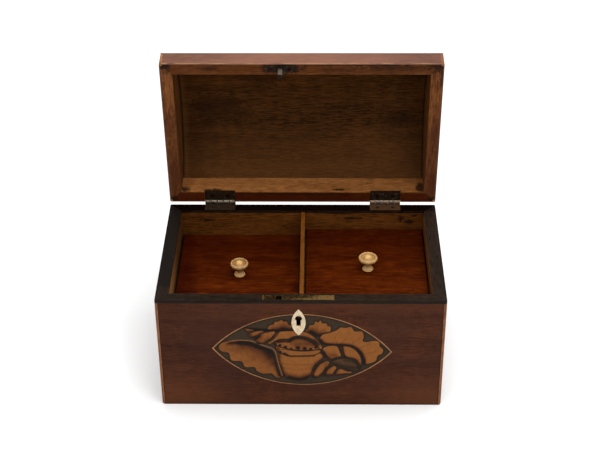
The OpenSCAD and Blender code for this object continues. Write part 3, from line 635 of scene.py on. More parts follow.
# %% Boards of the case
WALL_BLOTS = [
    ((37, 52, 86), (10, 3, 1.3)), ((80, 52, 83), (5, 3, 2.2)),
    ((74, 52, 85.5), (3, 3, 2.6)), ((-71, 52, 84), (6, 3, 1.2)),
    ((84, 52, 88.5), (3, 3, 1.2)), ((30, 52, 91), (14, 3, 1.5)),
]
case_boards = wood("case_boards", (0.038, 0.0115, 0.0015), (0.145, 0.046, 0.0075), streak=0.6,
                   roughness=0.6, sheen=0.04, seed=7, wear=stained(WALL_BLOTS, BLACKENED, 0.85))


def side_board_wear(where, colour):
    """The right board is painted lighter and more orange than the left, as if lit from the left, and is
    lighter still just below its facing. The left board is lighter towards the front. Painted shadow darkens
    both where the inner lids meet them."""
    x, y, up = axes(where)
    on_right, on_left = ramp(x, -20, 20), ramp(x, 20, -20)
    return tinted(
        colour,
        # painted light: the right board lighter and more orange than the left
        (on_right * 0.25, (0.25, 0.085, 0.02)),
        (on_right * ramp(up, 84, 88) * 0.5, (0.34, 0.14, 0.04)),
        (on_left * ramp(y, 10, -50) * 0.7, (0.42, 0.2, 0.062)),
        # painted shadow low down, where the inner lids meet the boards
        (ramp(up, 77, 74.5) * 0.5, BLACKENED),
    )


side_boards = wood("side_boards", (0.05, 0.0195, 0.0058), (0.15, 0.062, 0.019), axis=1, streak=0.6,
                   pores=0.4, roughness=0.6, sheen=0.04, seed=8, wear=side_board_wear)
partition_wood = wood("partition", (0.1, 0.029, 0.0035), (0.19, 0.064, 0.01), axis=1, streak=0.6,
                      pores=0.3, roughness=0.55, sheen=0.04, seed=13)
pale_wood = wood("pale_wood", (0.16, 0.09, 0.035), (0.3, 0.19, 0.08), axis=1, pores=0.2,
                 roughness=0.6, seed=14)

# %% [markdown]
# The rim of the case is faced with wood stained black, which is rubbed brown where hands reach in.

# %% Rim facings
EBONY_DARK, EBONY_LIGHT = (0.0055, 0.003, 0.0018), (0.03, 0.0165, 0.0095)
FACING_W = 9
OUTER_X, OUTER_Y = HALF_X / MM, HALF_Y / MM
OPEN_X, OPEN_Y = OUTER_X - FACING_W, OUTER_Y - FACING_W


def facing_wear(where, colour):
    """Black stain is rubbed brown along the inner arris, and the mitres show as fine lines. Painted shade
    darkens the left length except at its front end.
    """
    x, y, _ = axes(where)
    across, deep = x.size(), y.size()
    inner = ramp((across - OPEN_X).at_least(deep - OPEN_Y), 0.8, 0.1)
    worn = inner * ramp(noise(where * 0.25, 3, 0.6), 0.42, 0.6)
    outer = ramp((across - OUTER_X).at_least(deep - OUTER_Y), -1.2, -0.5)
    mitre = ramp((across - OPEN_X - deep + OPEN_Y).size(), 0.3, 0.1)
    # painted shade on the left length of the facing
    left = ramp(x, -80, -91) * ramp(y, -50, -40)
    return tinted(
        colour,
        (worn * 0.4, (0.06, 0.026, 0.012)),
        (outer * 0.6, BLACKENED),
        (mitre * 0.7, BLACKENED),
        (left * 0.8, BLACKENED),
        (ramp(y, 50, 54) * 0.9, (0.003, 0.0009, 0.0006)),
    )


def facing_finish(name, **own):
    """A length of the facing; `own` says how it differs from the front one."""
    usual = {"streak": 0.65, "pores": 0.3, "roughness": 0.5, "sheen": 0.07, "seed": 9}
    return wood(name, EBONY_DARK, EBONY_LIGHT, wear=facing_wear, **{**usual, **own})


facing_wood = facing_finish("facing")
facing_back_wood = facing_finish("facing_back", roughness=0.6, sheen=0)
facing_side_wood = facing_finish("facing_side", axis=1, seed=10)

# %% [markdown]
# The inner lids are the reddest wood of all, and the only ones that are still polished.

# %% Polish of the inner lids
# Pools of painted light on the inner lids: middle, half extents and strength.
PAINTED_LIGHT_POOLS = [((-50, -44, 71), (38, 14, 30), 0.42), ((48, -40, 76), (34, 10, 30), 0.25)]


def inner_lid_wear(where, colour):
    """Deep red polish with fine wavy streaks, painted shade towards the left and the back, orange pools of
    painted light towards the front, and painted shadow along the edges at the partition and the side walls.
    """
    x, y, _ = axes(where)
    patches = noise(where * (0.03, 0.07, 0.06), 4, 0.65, 1.5)
    fine = noise(where * (0.07, 0.75, 0.6), 3, 0.6, 0.6)
    # painted shade: darker towards the back and the left wall
    dark = (ramp(y, -25, 35) * 0.7).at_least(ramp(x, -70, -85))
    # painted shadow along the edges that meet the partition and the side walls
    rims = ramp((x - 0.5).size(), 3.2, 2.2).at_least(ramp(x.size(), 89, 90))
    return tinted(
        colour,
        (ramp(patches, 0.43, 0.6) * 0.6, (0.033, 0.0038, 0.0004)),
        (ramp(fine, 0.48, 0.62) * 0.4, (0.024, 0.003, 0.0003)),
        (ramp(fine, 0.46, 0.34) * 0.35, (0.17, 0.037, 0.0025)),
        (dark * 0.7, (0.024, 0.0018, 0.0003)),
        # pools of painted light towards the front
        *((blot(where, centre, size, 0.6) * depth, (0.2, 0.058, 0.005)) for centre, size, depth in PAINTED_LIGHT_POOLS),
        (rims * 0.8, BLACKENED),
    )


inner_lid_wood = wood("inner_lid", (0.05, 0.0055, 0.0004), (0.115, 0.02, 0.0013), band_mm=16,
                      roughness=0.35, sheen=0.04, seed=15, wear=inner_lid_wear)

# %% [markdown]
# ## Metals
# Old brass and iron are clean where they are rubbed, stained in patches elsewhere, and specked with rust or
# verdigris. How clean a place is depends on the piece, so each has a small function that says it. On the lock
# plate that function paints a reflection, and on the knuckles a highlight.

# %% The metal recipe
def metal(name, clean, stain, rust, amount, roughness, seed=0, bright=None, soft=0.05):
    """Old metal. `bright` is a function of the place that says how clean it is there; on the lock plate it
    paints a reflection, and on the knuckles a highlight. `soft` blurs the patches."""
    recipe = Recipe(name)
    where = recipe.place()
    place = where + (seed * 31,) * 3
    patches = noise(place * 0.3, 4, 0.65)
    specks = noise(place * 1.6, 3, 0.6)
    lift = bright(where) if bright else 0
    middle = 0.67 - amount * 0.3
    stained_here = ramp(patches - lift, middle - soft, middle + soft)
    rusty = ramp(specks + patches * 0.5, 0.74, 0.92)
    colour = tinted(recipe.mix(stained_here, clean, stain), (rusty * amount, rust))
    rough = stained_here * 0.2 + rusty * 0.25 + roughness
    return recipe.finish(base_color=colour, metallic=1 - rusty * amount * 0.8, roughness=rough,
                         normal=recipe.bump(specks + rusty * 0.6, 0.05), specular_ior_level=0.1)


foil = metal("tin_foil", (0.45, 0.45, 0.43), (0.2, 0.2, 0.19), (0.15, 0.14, 0.11), 0.5, 0.4, 3)
screw_iron = metal("screw_iron", (0.1, 0.07, 0.05), (0.05, 0.03, 0.02), (0.08, 0.025, 0.015), 0.8, 0.5, 2)
lid_screw_iron = metal("lid_screw_iron", (0.04, 0.012, 0.006), (0.018, 0.004, 0.002), (0.04, 0.008, 0.004),
                       0.8, 0.5, 5)

# %% [markdown]
# The hinges' knuckles are polished by the other knuckles and by hands, with a painted highlight on their top
# side, and their leaves are rusty.

# %% Hinge iron
leaf_low, leaf_high = node_box("right_case_leaf")
KNUCKLES_FROM = leaf_low[0] / MM
KNUCKLE_W = (leaf_high[0] - leaf_low[0]) / MM / 5
print("knuckles", round(KNUCKLE_W, 2), "mm wide, from", round(KNUCKLES_FROM, 1), "mm out")


def barrel_bright(where):
    """The knuckles are rubbed bright, one more than the next and the left ones less, with dark gaps
    between them and a painted highlight on their top side. The flat leaves stay dark. A knuckle is known by
    its distance from the hinge line."""
    x, y, z = axes(where)
    step = (x.size() - KNUCKLES_FROM) / KNUCKLE_W
    gap = ramp((step.maths("FRACT", step) - 0.5).size(), 0.38, 0.46)
    one_by_one = noise(step.maths("FLOOR", step) * 7.3, 0) - 0.5
    y, z = y - PIVOT[1] / MM, z - PIVOT[2] / MM
    # painted highlight on the top side of each knuckle
    upper_highlight = ramp(z - y * 0.5, -0.3, 0.5)
    knuckle = ramp((y * y + z * z) ** 0.5, 1.75, 1.55)
    duller = ramp(x, 20, -20) * 0.3
    return knuckle * (upper_highlight * 0.5 + 0.1 + one_by_one * 0.6 - gap * 0.4 - duller) - 0.12


iron = metal("hinge_iron", (0.25, 0.2, 0.15), (0.058, 0.04, 0.023), (0.085, 0.03, 0.012), 0.8, 0.45, 1,
             bright=barrel_bright, soft=0.15)
rusty_iron = metal("rusty_hinge_iron", (0.28, 0.21, 0.14), (0.15, 0.085, 0.038), (0.13, 0.025, 0.012),
                   0.9, 0.5, 1, bright=barrel_bright, soft=0.25)
dark_iron = metal("dark_iron", (0.25, 0.2, 0.15), (0.032, 0.02, 0.011), (0.045, 0.016, 0.007), 0.8, 0.5, 3,
                  bright=barrel_bright, soft=0.15)

# %% [markdown]
# The lock's top plate is brass, and the staple that drops into it is steel.

# %% Lock brass and staple steel
def plate_reflection(where):
    """A painted reflection on the lock plate: brighter towards its right end, at its left tip and along its
    front edge.
    """
    x, y, _ = axes(where)
    # painted reflection: brighter to the right, a glint at the left tip, and a highlight along the front edge
    ends = ramp(x, 0, 23) * 0.5 - 0.2
    front = ramp(y, -56.6, -58) * ramp(x, -18, 4) * 0.25
    return (ends + front).at_least(ramp(x, -25, -26) * 0.6 - 0.3)


def eye_bright(where):
    """The staple's eye, which hangs clear of the lid, is bright, and its plate is black with iron stain."""
    below = LID_Z / MM - axes(where.recipe.place_shut())[2]
    return ramp(below, 0.4, 5) * 0.5 - ramp(below, 8.6, 9.6) * 0.5 - 0.2


brass = metal("lock_brass", (0.34, 0.2, 0.065), (0.028, 0.0155, 0.0045), (0.014, 0.009, 0.004), 0.7, 0.42,
              bright=plate_reflection, soft=0.3)
staple_steel = metal("staple_steel", (0.19, 0.155, 0.12), (0.018, 0.013, 0.01), (0.05, 0.03, 0.02),
                     0.6, 0.4, 4, bright=eye_bright, soft=0.2)

# %% [markdown]
# ## Bone
# The escutcheon and the knobs are yellowed bone: pale, with soft clouds, short pores and dirt in the
# hollows.

# %% Bone
def bone(name, dark, light, dirt, cloud_scale, pore_scale, pore_ramp, roughness, wear=None):
    """Bone with clouds and pores. `wear` is a function of the place and the colour."""
    recipe = Recipe(name)
    where = recipe.place()
    cloud = noise(where * cloud_scale, 3, 0.6)
    flecks = ramp(noise(where * pore_scale, 2, 0.5), *pore_ramp)
    colour = tinted(recipe.mix(ramp(cloud, 0.35, 0.65), dark, light), (flecks * 0.5, dirt))
    if wear:
        colour = wear(where, colour)
    return recipe.finish(base_color=colour, roughness=cloud * 0.2 + roughness, specular_ior_level=0.3,
                         normal=recipe.bump(cloud - flecks * 0.5, 0.03))


bone_finish = bone("bone", (0.55, 0.42, 0.26), (0.68, 0.55, 0.37), (0.42, 0.3, 0.17),
                   0.4, (2.2, 2.2, 0.7), (0.6, 0.75), 0.35)

# %% [markdown]
# A knob is dirty in the ring that the lathe cut round its raised middle and in its waist. Its raised middle
# carries a painted highlight and its foot painted light. The right knob is paler.

# %% Bone of the knobs
def knob_finish(side, paleness):
    """Yellow bone, with dirt, a painted highlight and painted light placed by the distance from the knob's
    axis and the height above its lid.
    """
    low, high = node_box(f"{side}_knob")
    middle = (low + high) / 2 / MM
    seat = node_box(f"{side}_inner_lid")[1][2] / MM

    def wear(where, colour):
        x, y, up = axes(where - (middle[0], middle[1], seat))
        radius = (x * x + y * y) ** 0.5
        on_top = ramp(up, 8.6, 9.6)
        ring = on_top * ramp((radius - 4.1).size(), 1.5, 0.4)
        return tinted(
            colour,
            # painted highlight on the raised middle of the cap
            (on_top * ramp(radius, 3.2, 1.4) * 0.6, (0.8, 0.5, 0.13)),
            (ring * 0.75, (0.17, 0.07, 0.022)),
            (ramp((up - 4.6).size(), 2.4, 1.2) * 0.75, (0.12, 0.045, 0.012)),
            # painted light on the foot, which the cap shades
            (ramp(up, 2.6, 1.4) * 0.7, (0.82, 0.47, 0.18)),
            (paleness, (0.75, 0.47, 0.17)),
        )

    return bone(f"{side}_knob_bone", (0.36, 0.18, 0.062), (0.55, 0.32, 0.12), (0.27, 0.14, 0.05),
                0.45, (1.6, 1.6, 0.7), (0.58, 0.74), 0.3, wear)


KNOB_FINISH = {"left": knob_finish("left", 0), "right": knob_finish("right", 0.16)}

# %% [markdown]
# ## Which finish goes on which node
# Every CAD node gets a material of its own, whether or not a softer piece stands in for it later.

# %% Dress the CAD nodes
FINISHES = [
    (veneer, "front_veneer back_veneer"),
    (side_veneer, "left_veneer right_veneer"),
    (case_boards, "front_board back_board"),
    (side_boards, "left_board right_board"),
    (pale_wood, "bottom_board left_ledge_strips right_ledge_strips"),
    (partition_wood, "partition"),
    (foil, "left_foil_lining right_foil_lining"),
    (facing_wood, "front_rim_facing"),
    (facing_back_wood, "back_rim_facing"),
    (facing_side_wood, "left_rim_facing right_rim_facing"),
    (stringing_wood, "case_corner_stringing"),
    (lid_stringing, "lid_corner_stringing"),
    (panel_line, "panel_stringing"),
    (bone_finish, "escutcheon"),
    (KNOB_FINISH["left"], "left_knob"),
    (KNOB_FINISH["right"], "right_knob"),
    (inner_lid_wood, "left_inner_lid right_inner_lid"),
    (lid_veneer, "lid_front_veneer lid_back_veneer lid_top_veneer"),
    (lid_side_veneer, "lid_left_veneer lid_right_veneer"),
    (lid_front_wood, "lid_front_board"),
    (lid_back_wood_painted_light, "lid_back_board"),
    (lid_inside, "lid_top_board"),
    (gable_wood, "lid_left_gable lid_right_gable"),
    (brass, "lock_plate"),
    # the lock case is dark iron so that the keyhole shows dark: painted shade inside the lock
    (dark_iron, "lock_case left_lid_leaf right_lid_leaf"),
    (staple_steel, "lock_staple"),
    (iron, "lock_bolt lock_spring key_pin left_case_leaf left_hinge_pin right_hinge_pin"),
    (rusty_iron, "right_case_leaf"),
    (screw_iron, "case_leaf_screws"),
    (lid_screw_iron, "lid_screws"),
]


def dress(name, material):
    """Gives a CAD node one material in every slot it has."""
    mesh = frame["nodes"][name].data
    mesh.materials.clear()
    mesh.materials.append(material)


for material, names in FINISHES:
    for name in names.split():
        dress(name, material)
print(sum(len(names.split()) for _, names in FINISHES), "nodes dressed")

# %% [markdown]
# ## The bent top of the lid
# The top board and its veneer are flat sheets with soft edges, bent round one arc. The bend turns the
# distance across the lid into an angle: y = (R + t) sin(s / R), z = middle + (R + t) cos(s / R).

# %% Bend the lid's skins
top_points = shut(node_points("lid_top_veneer"))
crown_z = top_points[:, 2].max()
edge_z = top_points[np.abs(top_points[:, 1]) > HALF_Y - 0.01 * MM][:, 2].max()
rise = crown_z - edge_z
ARC_R = (HALF_Y ** 2 + rise ** 2) / (2 * rise)
ARC_Z = crown_z - ARC_R
print("lid arc radius", round(ARC_R / MM, 1), "mm, eaves", round((edge_z - LID_Z) / MM, 1), "mm")


def bent_sheet(outer_r, thickness, half_x, half_y, edge, step, uneven):
    """A soft box laid flat, its surfaces wavering by `uneven`, then bent round the lid's arc and opened."""
    reach = outer_r * math.asin(half_y / outer_r)
    flat, quads = soft_box((-half_x, -reach, -thickness), (half_x, reach, 0), edge, step)
    flat[:, 2] += uneven * waver(flat * (0.3, 1, 1), 40 * MM, 5) * (flat[:, 2] < -thickness / 2)
    angle = flat[:, 1] / outer_r
    radius = outer_r + flat[:, 2]
    bent = np.stack([flat[:, 0], radius * np.sin(angle), ARC_Z + radius * np.cos(angle)], axis=1)
    return opened(bent), quads


VENEER_T = np.ptp([corner[0] for corner in node_box("left_veneer")])
BEND_STEP = 3 * MM
top_board = shut(node_points("lid_top_board"))
CORE_R, INNER_R = ARC_R - VENEER_T, np.hypot(top_board[:, 1], top_board[:, 2] - ARC_Z).min()
points, quads = bent_sheet(ARC_R, VENEER_T, HALF_X, HALF_Y, 0.35 * MM, BEND_STEP, 0)
new_piece("lid_top_skin", points, quads.tolist(), lid_veneer, "lid", "mahogany_veneer", ["lid_top_veneer"])
points, quads = bent_sheet(CORE_R, CORE_R - INNER_R, HALF_X - VENEER_T, HALF_Y - VENEER_T, 0.2 * MM,
                           BEND_STEP, 0.25 * MM)
new_piece("lid_top_bent_board", points, quads.tolist(), lid_inside, "lid", "mahogany_board",
          ["lid_top_board"])

# %% [markdown]
# ## Inner lids
# Each is one planed mahogany board, rounded over along its edges where fingers have rubbed it.

# %% Inner lids
def inner_lid(side):
    """A soft board in the CAD lid's own box."""
    low, high = node_box(f"{side}_inner_lid")
    points, quads = soft_box(low, high, 0.7 * MM, 6 * MM)
    new_piece(f"{side}_inner_lid_board", points, quads.tolist(), inner_lid_wood, f"{side}_inner_lid",
              "red_mahogany", [f"{side}_inner_lid"])


inner_lid("left")
inner_lid("right")

# %% [markdown]
# ## Knobs
# A knob is turned on a lathe, so its surface is a profile carried round an axis. The profile's few
# radii and heights are joined by a smooth curve, and its top is dished round a raised middle.

# %% Turned knobs
KNOB_PROFILE = np.array([
    (0, -0.4), (3.8, -0.4), (3.8, 0.4), (3.55, 1), (2.8, 1.5), (2.3, 2.2), (1.9, 3.3), (1.9, 4.8),
    (2.7, 6), (4.8, 6.9), (6.2, 7.7), (6.8, 8.8), (6.75, 9.7), (6.3, 10.3), (5.7, 10.5), (5.2, 10),
    (4.7, 9.4), (4.1, 9.1), (3.5, 9.3), (3.1, 9.6), (2.8, 10.1), (2.2, 10.9), (1.2, 11.4), (0, 11.4),
])
CAP_SIZE = {"left": 0.95, "right": 1}


def knob(side):
    """The profile turned about the knob's axis: x = r cos a, y = r sin a, z = height. Turned by hand, the
    two caps differ a little."""
    low, high = node_box(f"{side}_knob")
    top = node_box(f"{side}_inner_lid")[1][2]
    centre = (low + high) / 2
    profile = rounded_path(KNOB_PROFILE, 4)
    size = (high[0] - low[0]) / (2 * KNOB_PROFILE[:, 0].max())
    angle = np.linspace(0, 2 * math.pi, 96, endpoint=False)
    r, z = np.clip(profile[:, :1], 0, None) * size, profile[:, 1:]
    r = np.where(z > 5.5, r * CAP_SIZE[side], r)
    tall = (high[2] - top) / KNOB_PROFILE[-1, 1]
    grid = np.stack([centre[0] + r * np.cos(angle), centre[1] + r * np.sin(angle),
                     top + z * tall + 0 * angle], axis=-1)
    points, quads = merged(grid.reshape(-1, 3), grid_faces(*grid.shape[:2], wrap_columns=True))
    new_piece(f"{side}_turned_knob", points, quads.tolist(), KNOB_FINISH[side], f"{side}_inner_lid", "bone",
              [f"{side}_knob"])


knob("left")
knob("right")

# %% [markdown]
# ## The marquetry panel
# The shells are thin plates let into a dyed ground. Each plate was dipped in hot sand before it was
# laid, so one side of it is scorched and the shell looks round. The CAD holds each plate's outline. Here
# the outline is filled with small triangles, whose corners can carry the scorch as a number.

# %% Outlines
def front_loops(name):
    """Closed outlines (x, z) of a CAD node's front: the edges of its front faces that no two share."""
    mesh = frame["nodes"][name].data
    mesh.calc_loop_triangles()
    corners = np.zeros(len(mesh.loop_triangles) * 3, np.int32)
    mesh.loop_triangles.foreach_get("vertices", corners)
    points = node_points(name)
    in_front = points[:, 1] < points[:, 1].min() + 0.01 * MM
    flat, index = np.unique(points[:, [0, 2]].round(7), axis=0, return_inverse=True)
    triangles = corners.reshape(-1, 3)
    triangles = index.reshape(-1)[triangles[in_front[triangles].all(axis=1)]]
    edges = np.concatenate([triangles[:, [0, 1]], triangles[:, [1, 2]], triangles[:, [2, 0]]])
    edges = set(map(tuple, edges.tolist()))
    follow = {a: b for a, b in edges if (b, a) not in edges}
    loops = []
    while follow:
        start, here = follow.popitem()
        loop = [start]
        while here != start:
            loop.append(here)
            here = follow.pop(here)
        loops.append(flat[loop])
    return loops


def inside(points, loops):
    """Even-odd rule: a point is inside if a line going right from it crosses the outlines an odd
    number of times. An edge is crossed when its ends lie above and below the line."""
    odd = np.zeros(len(points), bool)
    for loop in loops:
        a, b = loop, np.roll(loop, -1, axis=0)
        above_a = a[None, :, 1] > points[:, None, 1]
        above_b = b[None, :, 1] > points[:, None, 1]
        rise = np.where(a[:, 1] == b[:, 1], 1, b[:, 1] - a[:, 1])
        cross = a[:, 0] + (points[:, None, 1] - a[:, 1]) * (b[:, 0] - a[:, 0]) / rise
        odd ^= ((above_a != above_b) & (points[:, None, 0] < cross)).sum(axis=1) % 2 == 1
    return odd


def off_path(points, path):
    """Distance from each point to the nearest of a row of joined straight lines."""
    a, step = path[:-1], np.diff(path, axis=0)
    length2 = np.maximum((step ** 2).sum(axis=1), 1e-18)
    found = []
    for some in np.array_split(points, 1 + len(points) // 1500):
        share = np.clip(((some[:, None] - a) * step).sum(axis=-1) / length2, 0, 1)
        gap = some[:, None] - a - share[..., None] * step
        found.append(np.sqrt((gap ** 2).sum(axis=-1)).min(axis=1))
    return np.concatenate(found)

# %% [markdown]
# A plate is filled by constrained Delaunay triangles: they keep the outline's edges and pass through a
# lattice of inner points. The front gets the lattice and the hidden back only the outline.

# %% Filled plates
def filled(loops, extra):
    """Triangles that fill the outlines and pass through the extra points. The outlines' points come first."""
    edges, count = [], 0
    for loop in loops:
        ring = np.arange(len(loop)) + count
        edges += np.stack([ring, np.roll(ring, -1)], axis=1).tolist()
        count += len(loop)
    points = np.concatenate([*loops, extra])
    coordinates, _, faces, *_ = delaunay_2d_cdt([Vector(p) for p in points * 1000], edges, [], 0, 1e-7)
    triangles = np.array(faces)
    points = np.array(coordinates, float) / 1000
    return points, triangles[inside(points[triangles].mean(axis=1), loops)], edges


def plate(loops, front_y, back_y, step):
    """A flat plate in the outlines: a lattice of points in front, only the outline behind, and walls."""
    low = np.concatenate(loops).min(axis=0) + step / 2
    high = np.concatenate(loops).max(axis=0)
    x, z = np.meshgrid(np.arange(low[0], high[0], step), np.arange(low[1], high[1], step * 0.87))
    x[1::2] += step / 2
    lattice = np.stack([x.ravel(), z.ravel()], axis=1)
    lattice = lattice[inside(lattice, loops)]
    rims = [np.concatenate([loop, loop[:1]]) for loop in loops]
    clear = np.min([off_path(lattice, rim) for rim in rims], axis=0) > step * 0.35
    front, front_faces, edges = filled(loops, lattice[clear])
    back, back_faces, _ = filled(loops, np.zeros((0, 2)))
    count = len(front)
    points = np.concatenate([
        np.insert(front, 1, front_y, axis=1),
        np.insert(back, 1, back_y, axis=1),
    ])
    walls = [[b, a, a + count, b + count] for a, b in edges]
    faces = front_faces.tolist() + (back_faces[:, ::-1] + count).tolist() + walls
    return points, faces

# %% [markdown]
# A scorch is laid on like a brush stroke: a curve, a depth at its middle and a width. Strokes add up
# the way layers of tinted glass do, scorch = 1 - product of (1 - depth exp(-(d / width)^sharp)), where d
# is the distance from the curve. Places are in millimetres from the middle of the panel.

# %% Strokes
PANEL_X, PANEL_Z = 0.8, 50


def stroked(places, strokes, sharp=1.5):
    """How far each place is scorched, 0 to 1, by a list of (depth, width, curve) strokes."""
    clear = np.ones(len(places))
    for depth, width, *curve in strokes:
        path = np.array(curve, float)
        distance = off_path(places, rounded_path(path, 4) if len(path) > 2 else path)
        clear *= 1 - depth * np.exp(-(distance / width) ** sharp)
    return 1 - clear


def dots(depth, *spots):
    """Round blots: each spot is x, z and a radius."""
    return [(depth, radius, (x, z), (x + 0.01, z)) for x, z, radius in spots]

# %% [markdown]
# Each entry below is one plate: a place inside it, its overall tone, its scorch strokes, and its thin dark
# lines. A big shell is darkest along the edge that would turn away from the light, and the open shell in
# the middle has a row of black teeth.

# %% Where the shells are scorched
TEETH = dots(1, (-18.6, 5.5, 1), (-15.4, 4.3, 1.3), (-11.6, 2.8, 1.4), (-7.6, 1, 1.25),
             (-2.8, 2, 1.9), (1.8, 1.4, 1.8), (6, 1.1, 1.3), (9.6, 2.4, 1.3), (12, 3.3, 1))
LOWER_TEETH = dots(1, (-15.4, -2, 1.25), (-12.2, -3.5, 1.4), (-10.4, -4.3, 1))
CONCH_INSIDE = [(-52.4, 5), (-50, 6.2), (-44.5, 6.7), (-36.4, 6), (-31.4, 3.6), (-26, 1.2),
                (-21.4, -1.2), (-19.9, -4), (-18.9, -9.5), (-17.4, -17), (-16, -23)]
SHELLS = [
    ((-36, -6), 0.16,
     [(0.6, 1.5, (-50, 5.6), (-42, 6.6)),
      (1, 2.2, (-43, 6.8), (-36.4, 6), (-31, 3.4), (-25, 0.6), (-20.6, -2.2)),
      (0.3, 5, (-42, 4), (-36, 2.6), (-29, -1), (-23, -6)), (0.35, 2.6, (-24, -3), (-20.6, -12)),
      (0.7, 1.4, (-20.2, -2.6), (-19, -8), (-17.5, -16), (-16.2, -23))],
     [(0.9, 0.45, *CONCH_INSIDE)]),
    ((-25, 10), 0.15,
     [(0.8, 1.5, (-32.4, 9.6), (-29.6, 12.6)), (0.8, 1.5, (-31, 6.2), (-27, 5.2), (-22.4, 8.6))], []),
    ((-10, 12), 0.1, [(0.5, 1.2, (9, 9), (12, 5))],
     [(0.7, 0.8, (-19, 7.2), (-15, 9.4), (-9, 9.8), (-5, 12), (1, 12), (7, 9.6), (11, 5.4)),
      (0.8, 1, (-22.6, 7.6), (-19.4, 10.8), (-16.4, 15.6))]),
    ((-2, 5), 0.12,
     [(1, 2.1, (-8.4, 9.4), (-4.6, 11.4), (0.4, 11.4), (5.8, 9.4), (10.4, 5.2)),
      (0.5, 1.5, (-17.4, 7.4), (-12, 9)), (0.3, 2.5, (-4, 5), (4, 5.4))],
     TEETH + [(1, 0.9, (-6.5, 10.4), (-3, 11.5), (3, 11), (8, 9.2)),
              (0.9, 0.8, (-17, 7), (-12.4, 7.6), (-8, 7.4))]),
    ((0, -3), 0.1, [(0.6, 2, (-17, 1), (-16.5, -2.5))],
     LOWER_TEETH + [(0.5, 0.5, (-14, 0.7), (-4, -0.6), (4, -0.9), (12, 0.9))]),
    ((0, -15), 0,
     [(1, 3, (-9, -25.8), (-1.6, -27.4), (4.6, -25)),
      (0.6, 1.6, (-16.4, -4), (-16, -10), (-14.6, -16), (-12.6, -23)),
      (0.6, 1.6, (15.6, -6.8), (13, -9.4), (9, -14.6), (7, -21.4))],
     [(0.35, 0.8, (-12, -4.4), (-8, -5.8), (0, -5.8), (8.6, -5.4)),
      (0.25, 0.5, (-14, -12), (-4, -13.4), (8, -12.4)),
      (0.2, 0.6, (-13.4, -16), (-3, -17.8), (7.4, -16.6))]),
    ((30, 12), 0,
     [(0.85, 1.5, (12.8, 9), (15, 6), (20, 4.8), (30, 4.4), (36, 2.8), (40.6, -1.6), (43, -7),
       (43.8, -12.4))],
     [(0.9, 0.45, (12.8, 8.4), (15, 5.4), (20, 4.2), (30, 3.9), (36, 2.3), (40.2, -2), (42.6, -7),
       (43.4, -12.4)),
      (0.22, 0.5, (21, 5), (24, 14)), (0.22, 0.5, (27, 5), (33, 15)), (0.22, 0.5, (33, 4), (41, 12)),
      (0.22, 0.5, (38, 1), (48, 6)), (0.22, 0.5, (41, -4), (52, -1))]),
    ((21, -2), 0.05,
     [(0.7, 1.1, (15, -2), (17, -5.6), (20.4, -8.4), (24, -7), (28.2, -6)),
      (0.6, 0.8, (14.2, 0.2), (17, -5.6)),
      (0.35, 2.2, (20.4, -4.6), (23, -4.4)), (0.7, 0.6, (27, -1), (28.2, -6))], []),
    ((35, -3), 0.1,
     [(0.9, 0.8, (28, 3.2), (28.6, -1), (29.8, -5.4)),
      (0.7, 0.9, (29.8, -5.4), (32, -6.6), (36.6, -7.8), (39.6, -11.4), (41, -15.4))], []),
]
print(len(SHELLS), "shells")

# %% [markdown]
# Small spires lie at the upper left and the lower right, two fans of coral stand above, and a dark leaf
# lies at the lower right. Most of them are scorched along their lower edge.

# %% Where the small plates are scorched
SPIRES = [
    ((-35, 17), 0.2, [(0.8, 1.2, (-31.6, 17.2), (-33.4, 16.2), (-36.2, 15.6))], []),
    ((-30, 14.3), 0.1,
     [(0.5, 1.2, (-36, 14.4), (-35.4, 11.6), (-32.6, 11.2)),
      (0.8, 1.5, (-26.2, 17.2), (-25, 15.8), (-29, 13.4), (-32.6, 11.2))], []),
    ((13, -16), 0.1,
     [(0.8, 0.9, (7.2, -23.4), (8.8, -18), (11.8, -12.6), (15.2, -10)),
      (0.8, 1.2, (7.2, -23.4), (10.6, -24.8), (14.2, -21.6)), (0.3, 1, (17, -12), (16, -18))], []),
    ((20, -18), 0.1,
     [(0.8, 0.9, (15.8, -22.2), (17.4, -17.4), (21, -14.2)), (0.6, 0.8, (16, -22), (24, -22))], []),
    ((28, -20), 0.1, [(0.8, 0.9, (23, -21), (25, -17)), (0.5, 0.7, (24, -22), (32, -21))], []),
]
CORALS = [
    ((-14, 21), 0.15, [(0.6, 2, (-20, 18), (-12, 17.8), (-6, 18.4))] + dots(0.7, (-13, 18.5, 3)), []),
    ((12, 19), 0.1, [(0.95, 3.5, (6.6, 15.2), (9.8, 12.3), (13.2, 12))], []),
]
LEAVES = [(None, 0.15, [(0.5, 2, (22, -12), (30, -15), (38, -16)), (0.4, 1.5, (30, -9), (40, -11))], [])]
print(len(SPIRES), "spires,", len(CORALS), "corals and", len(LEAVES), "leaf")

# %% [markdown]
# The light wood keeps its own fine grain. Scorch darkens it in two steps, first to toffee and then
# nearly to black, and the saw line round each plate is filled with dark glue.

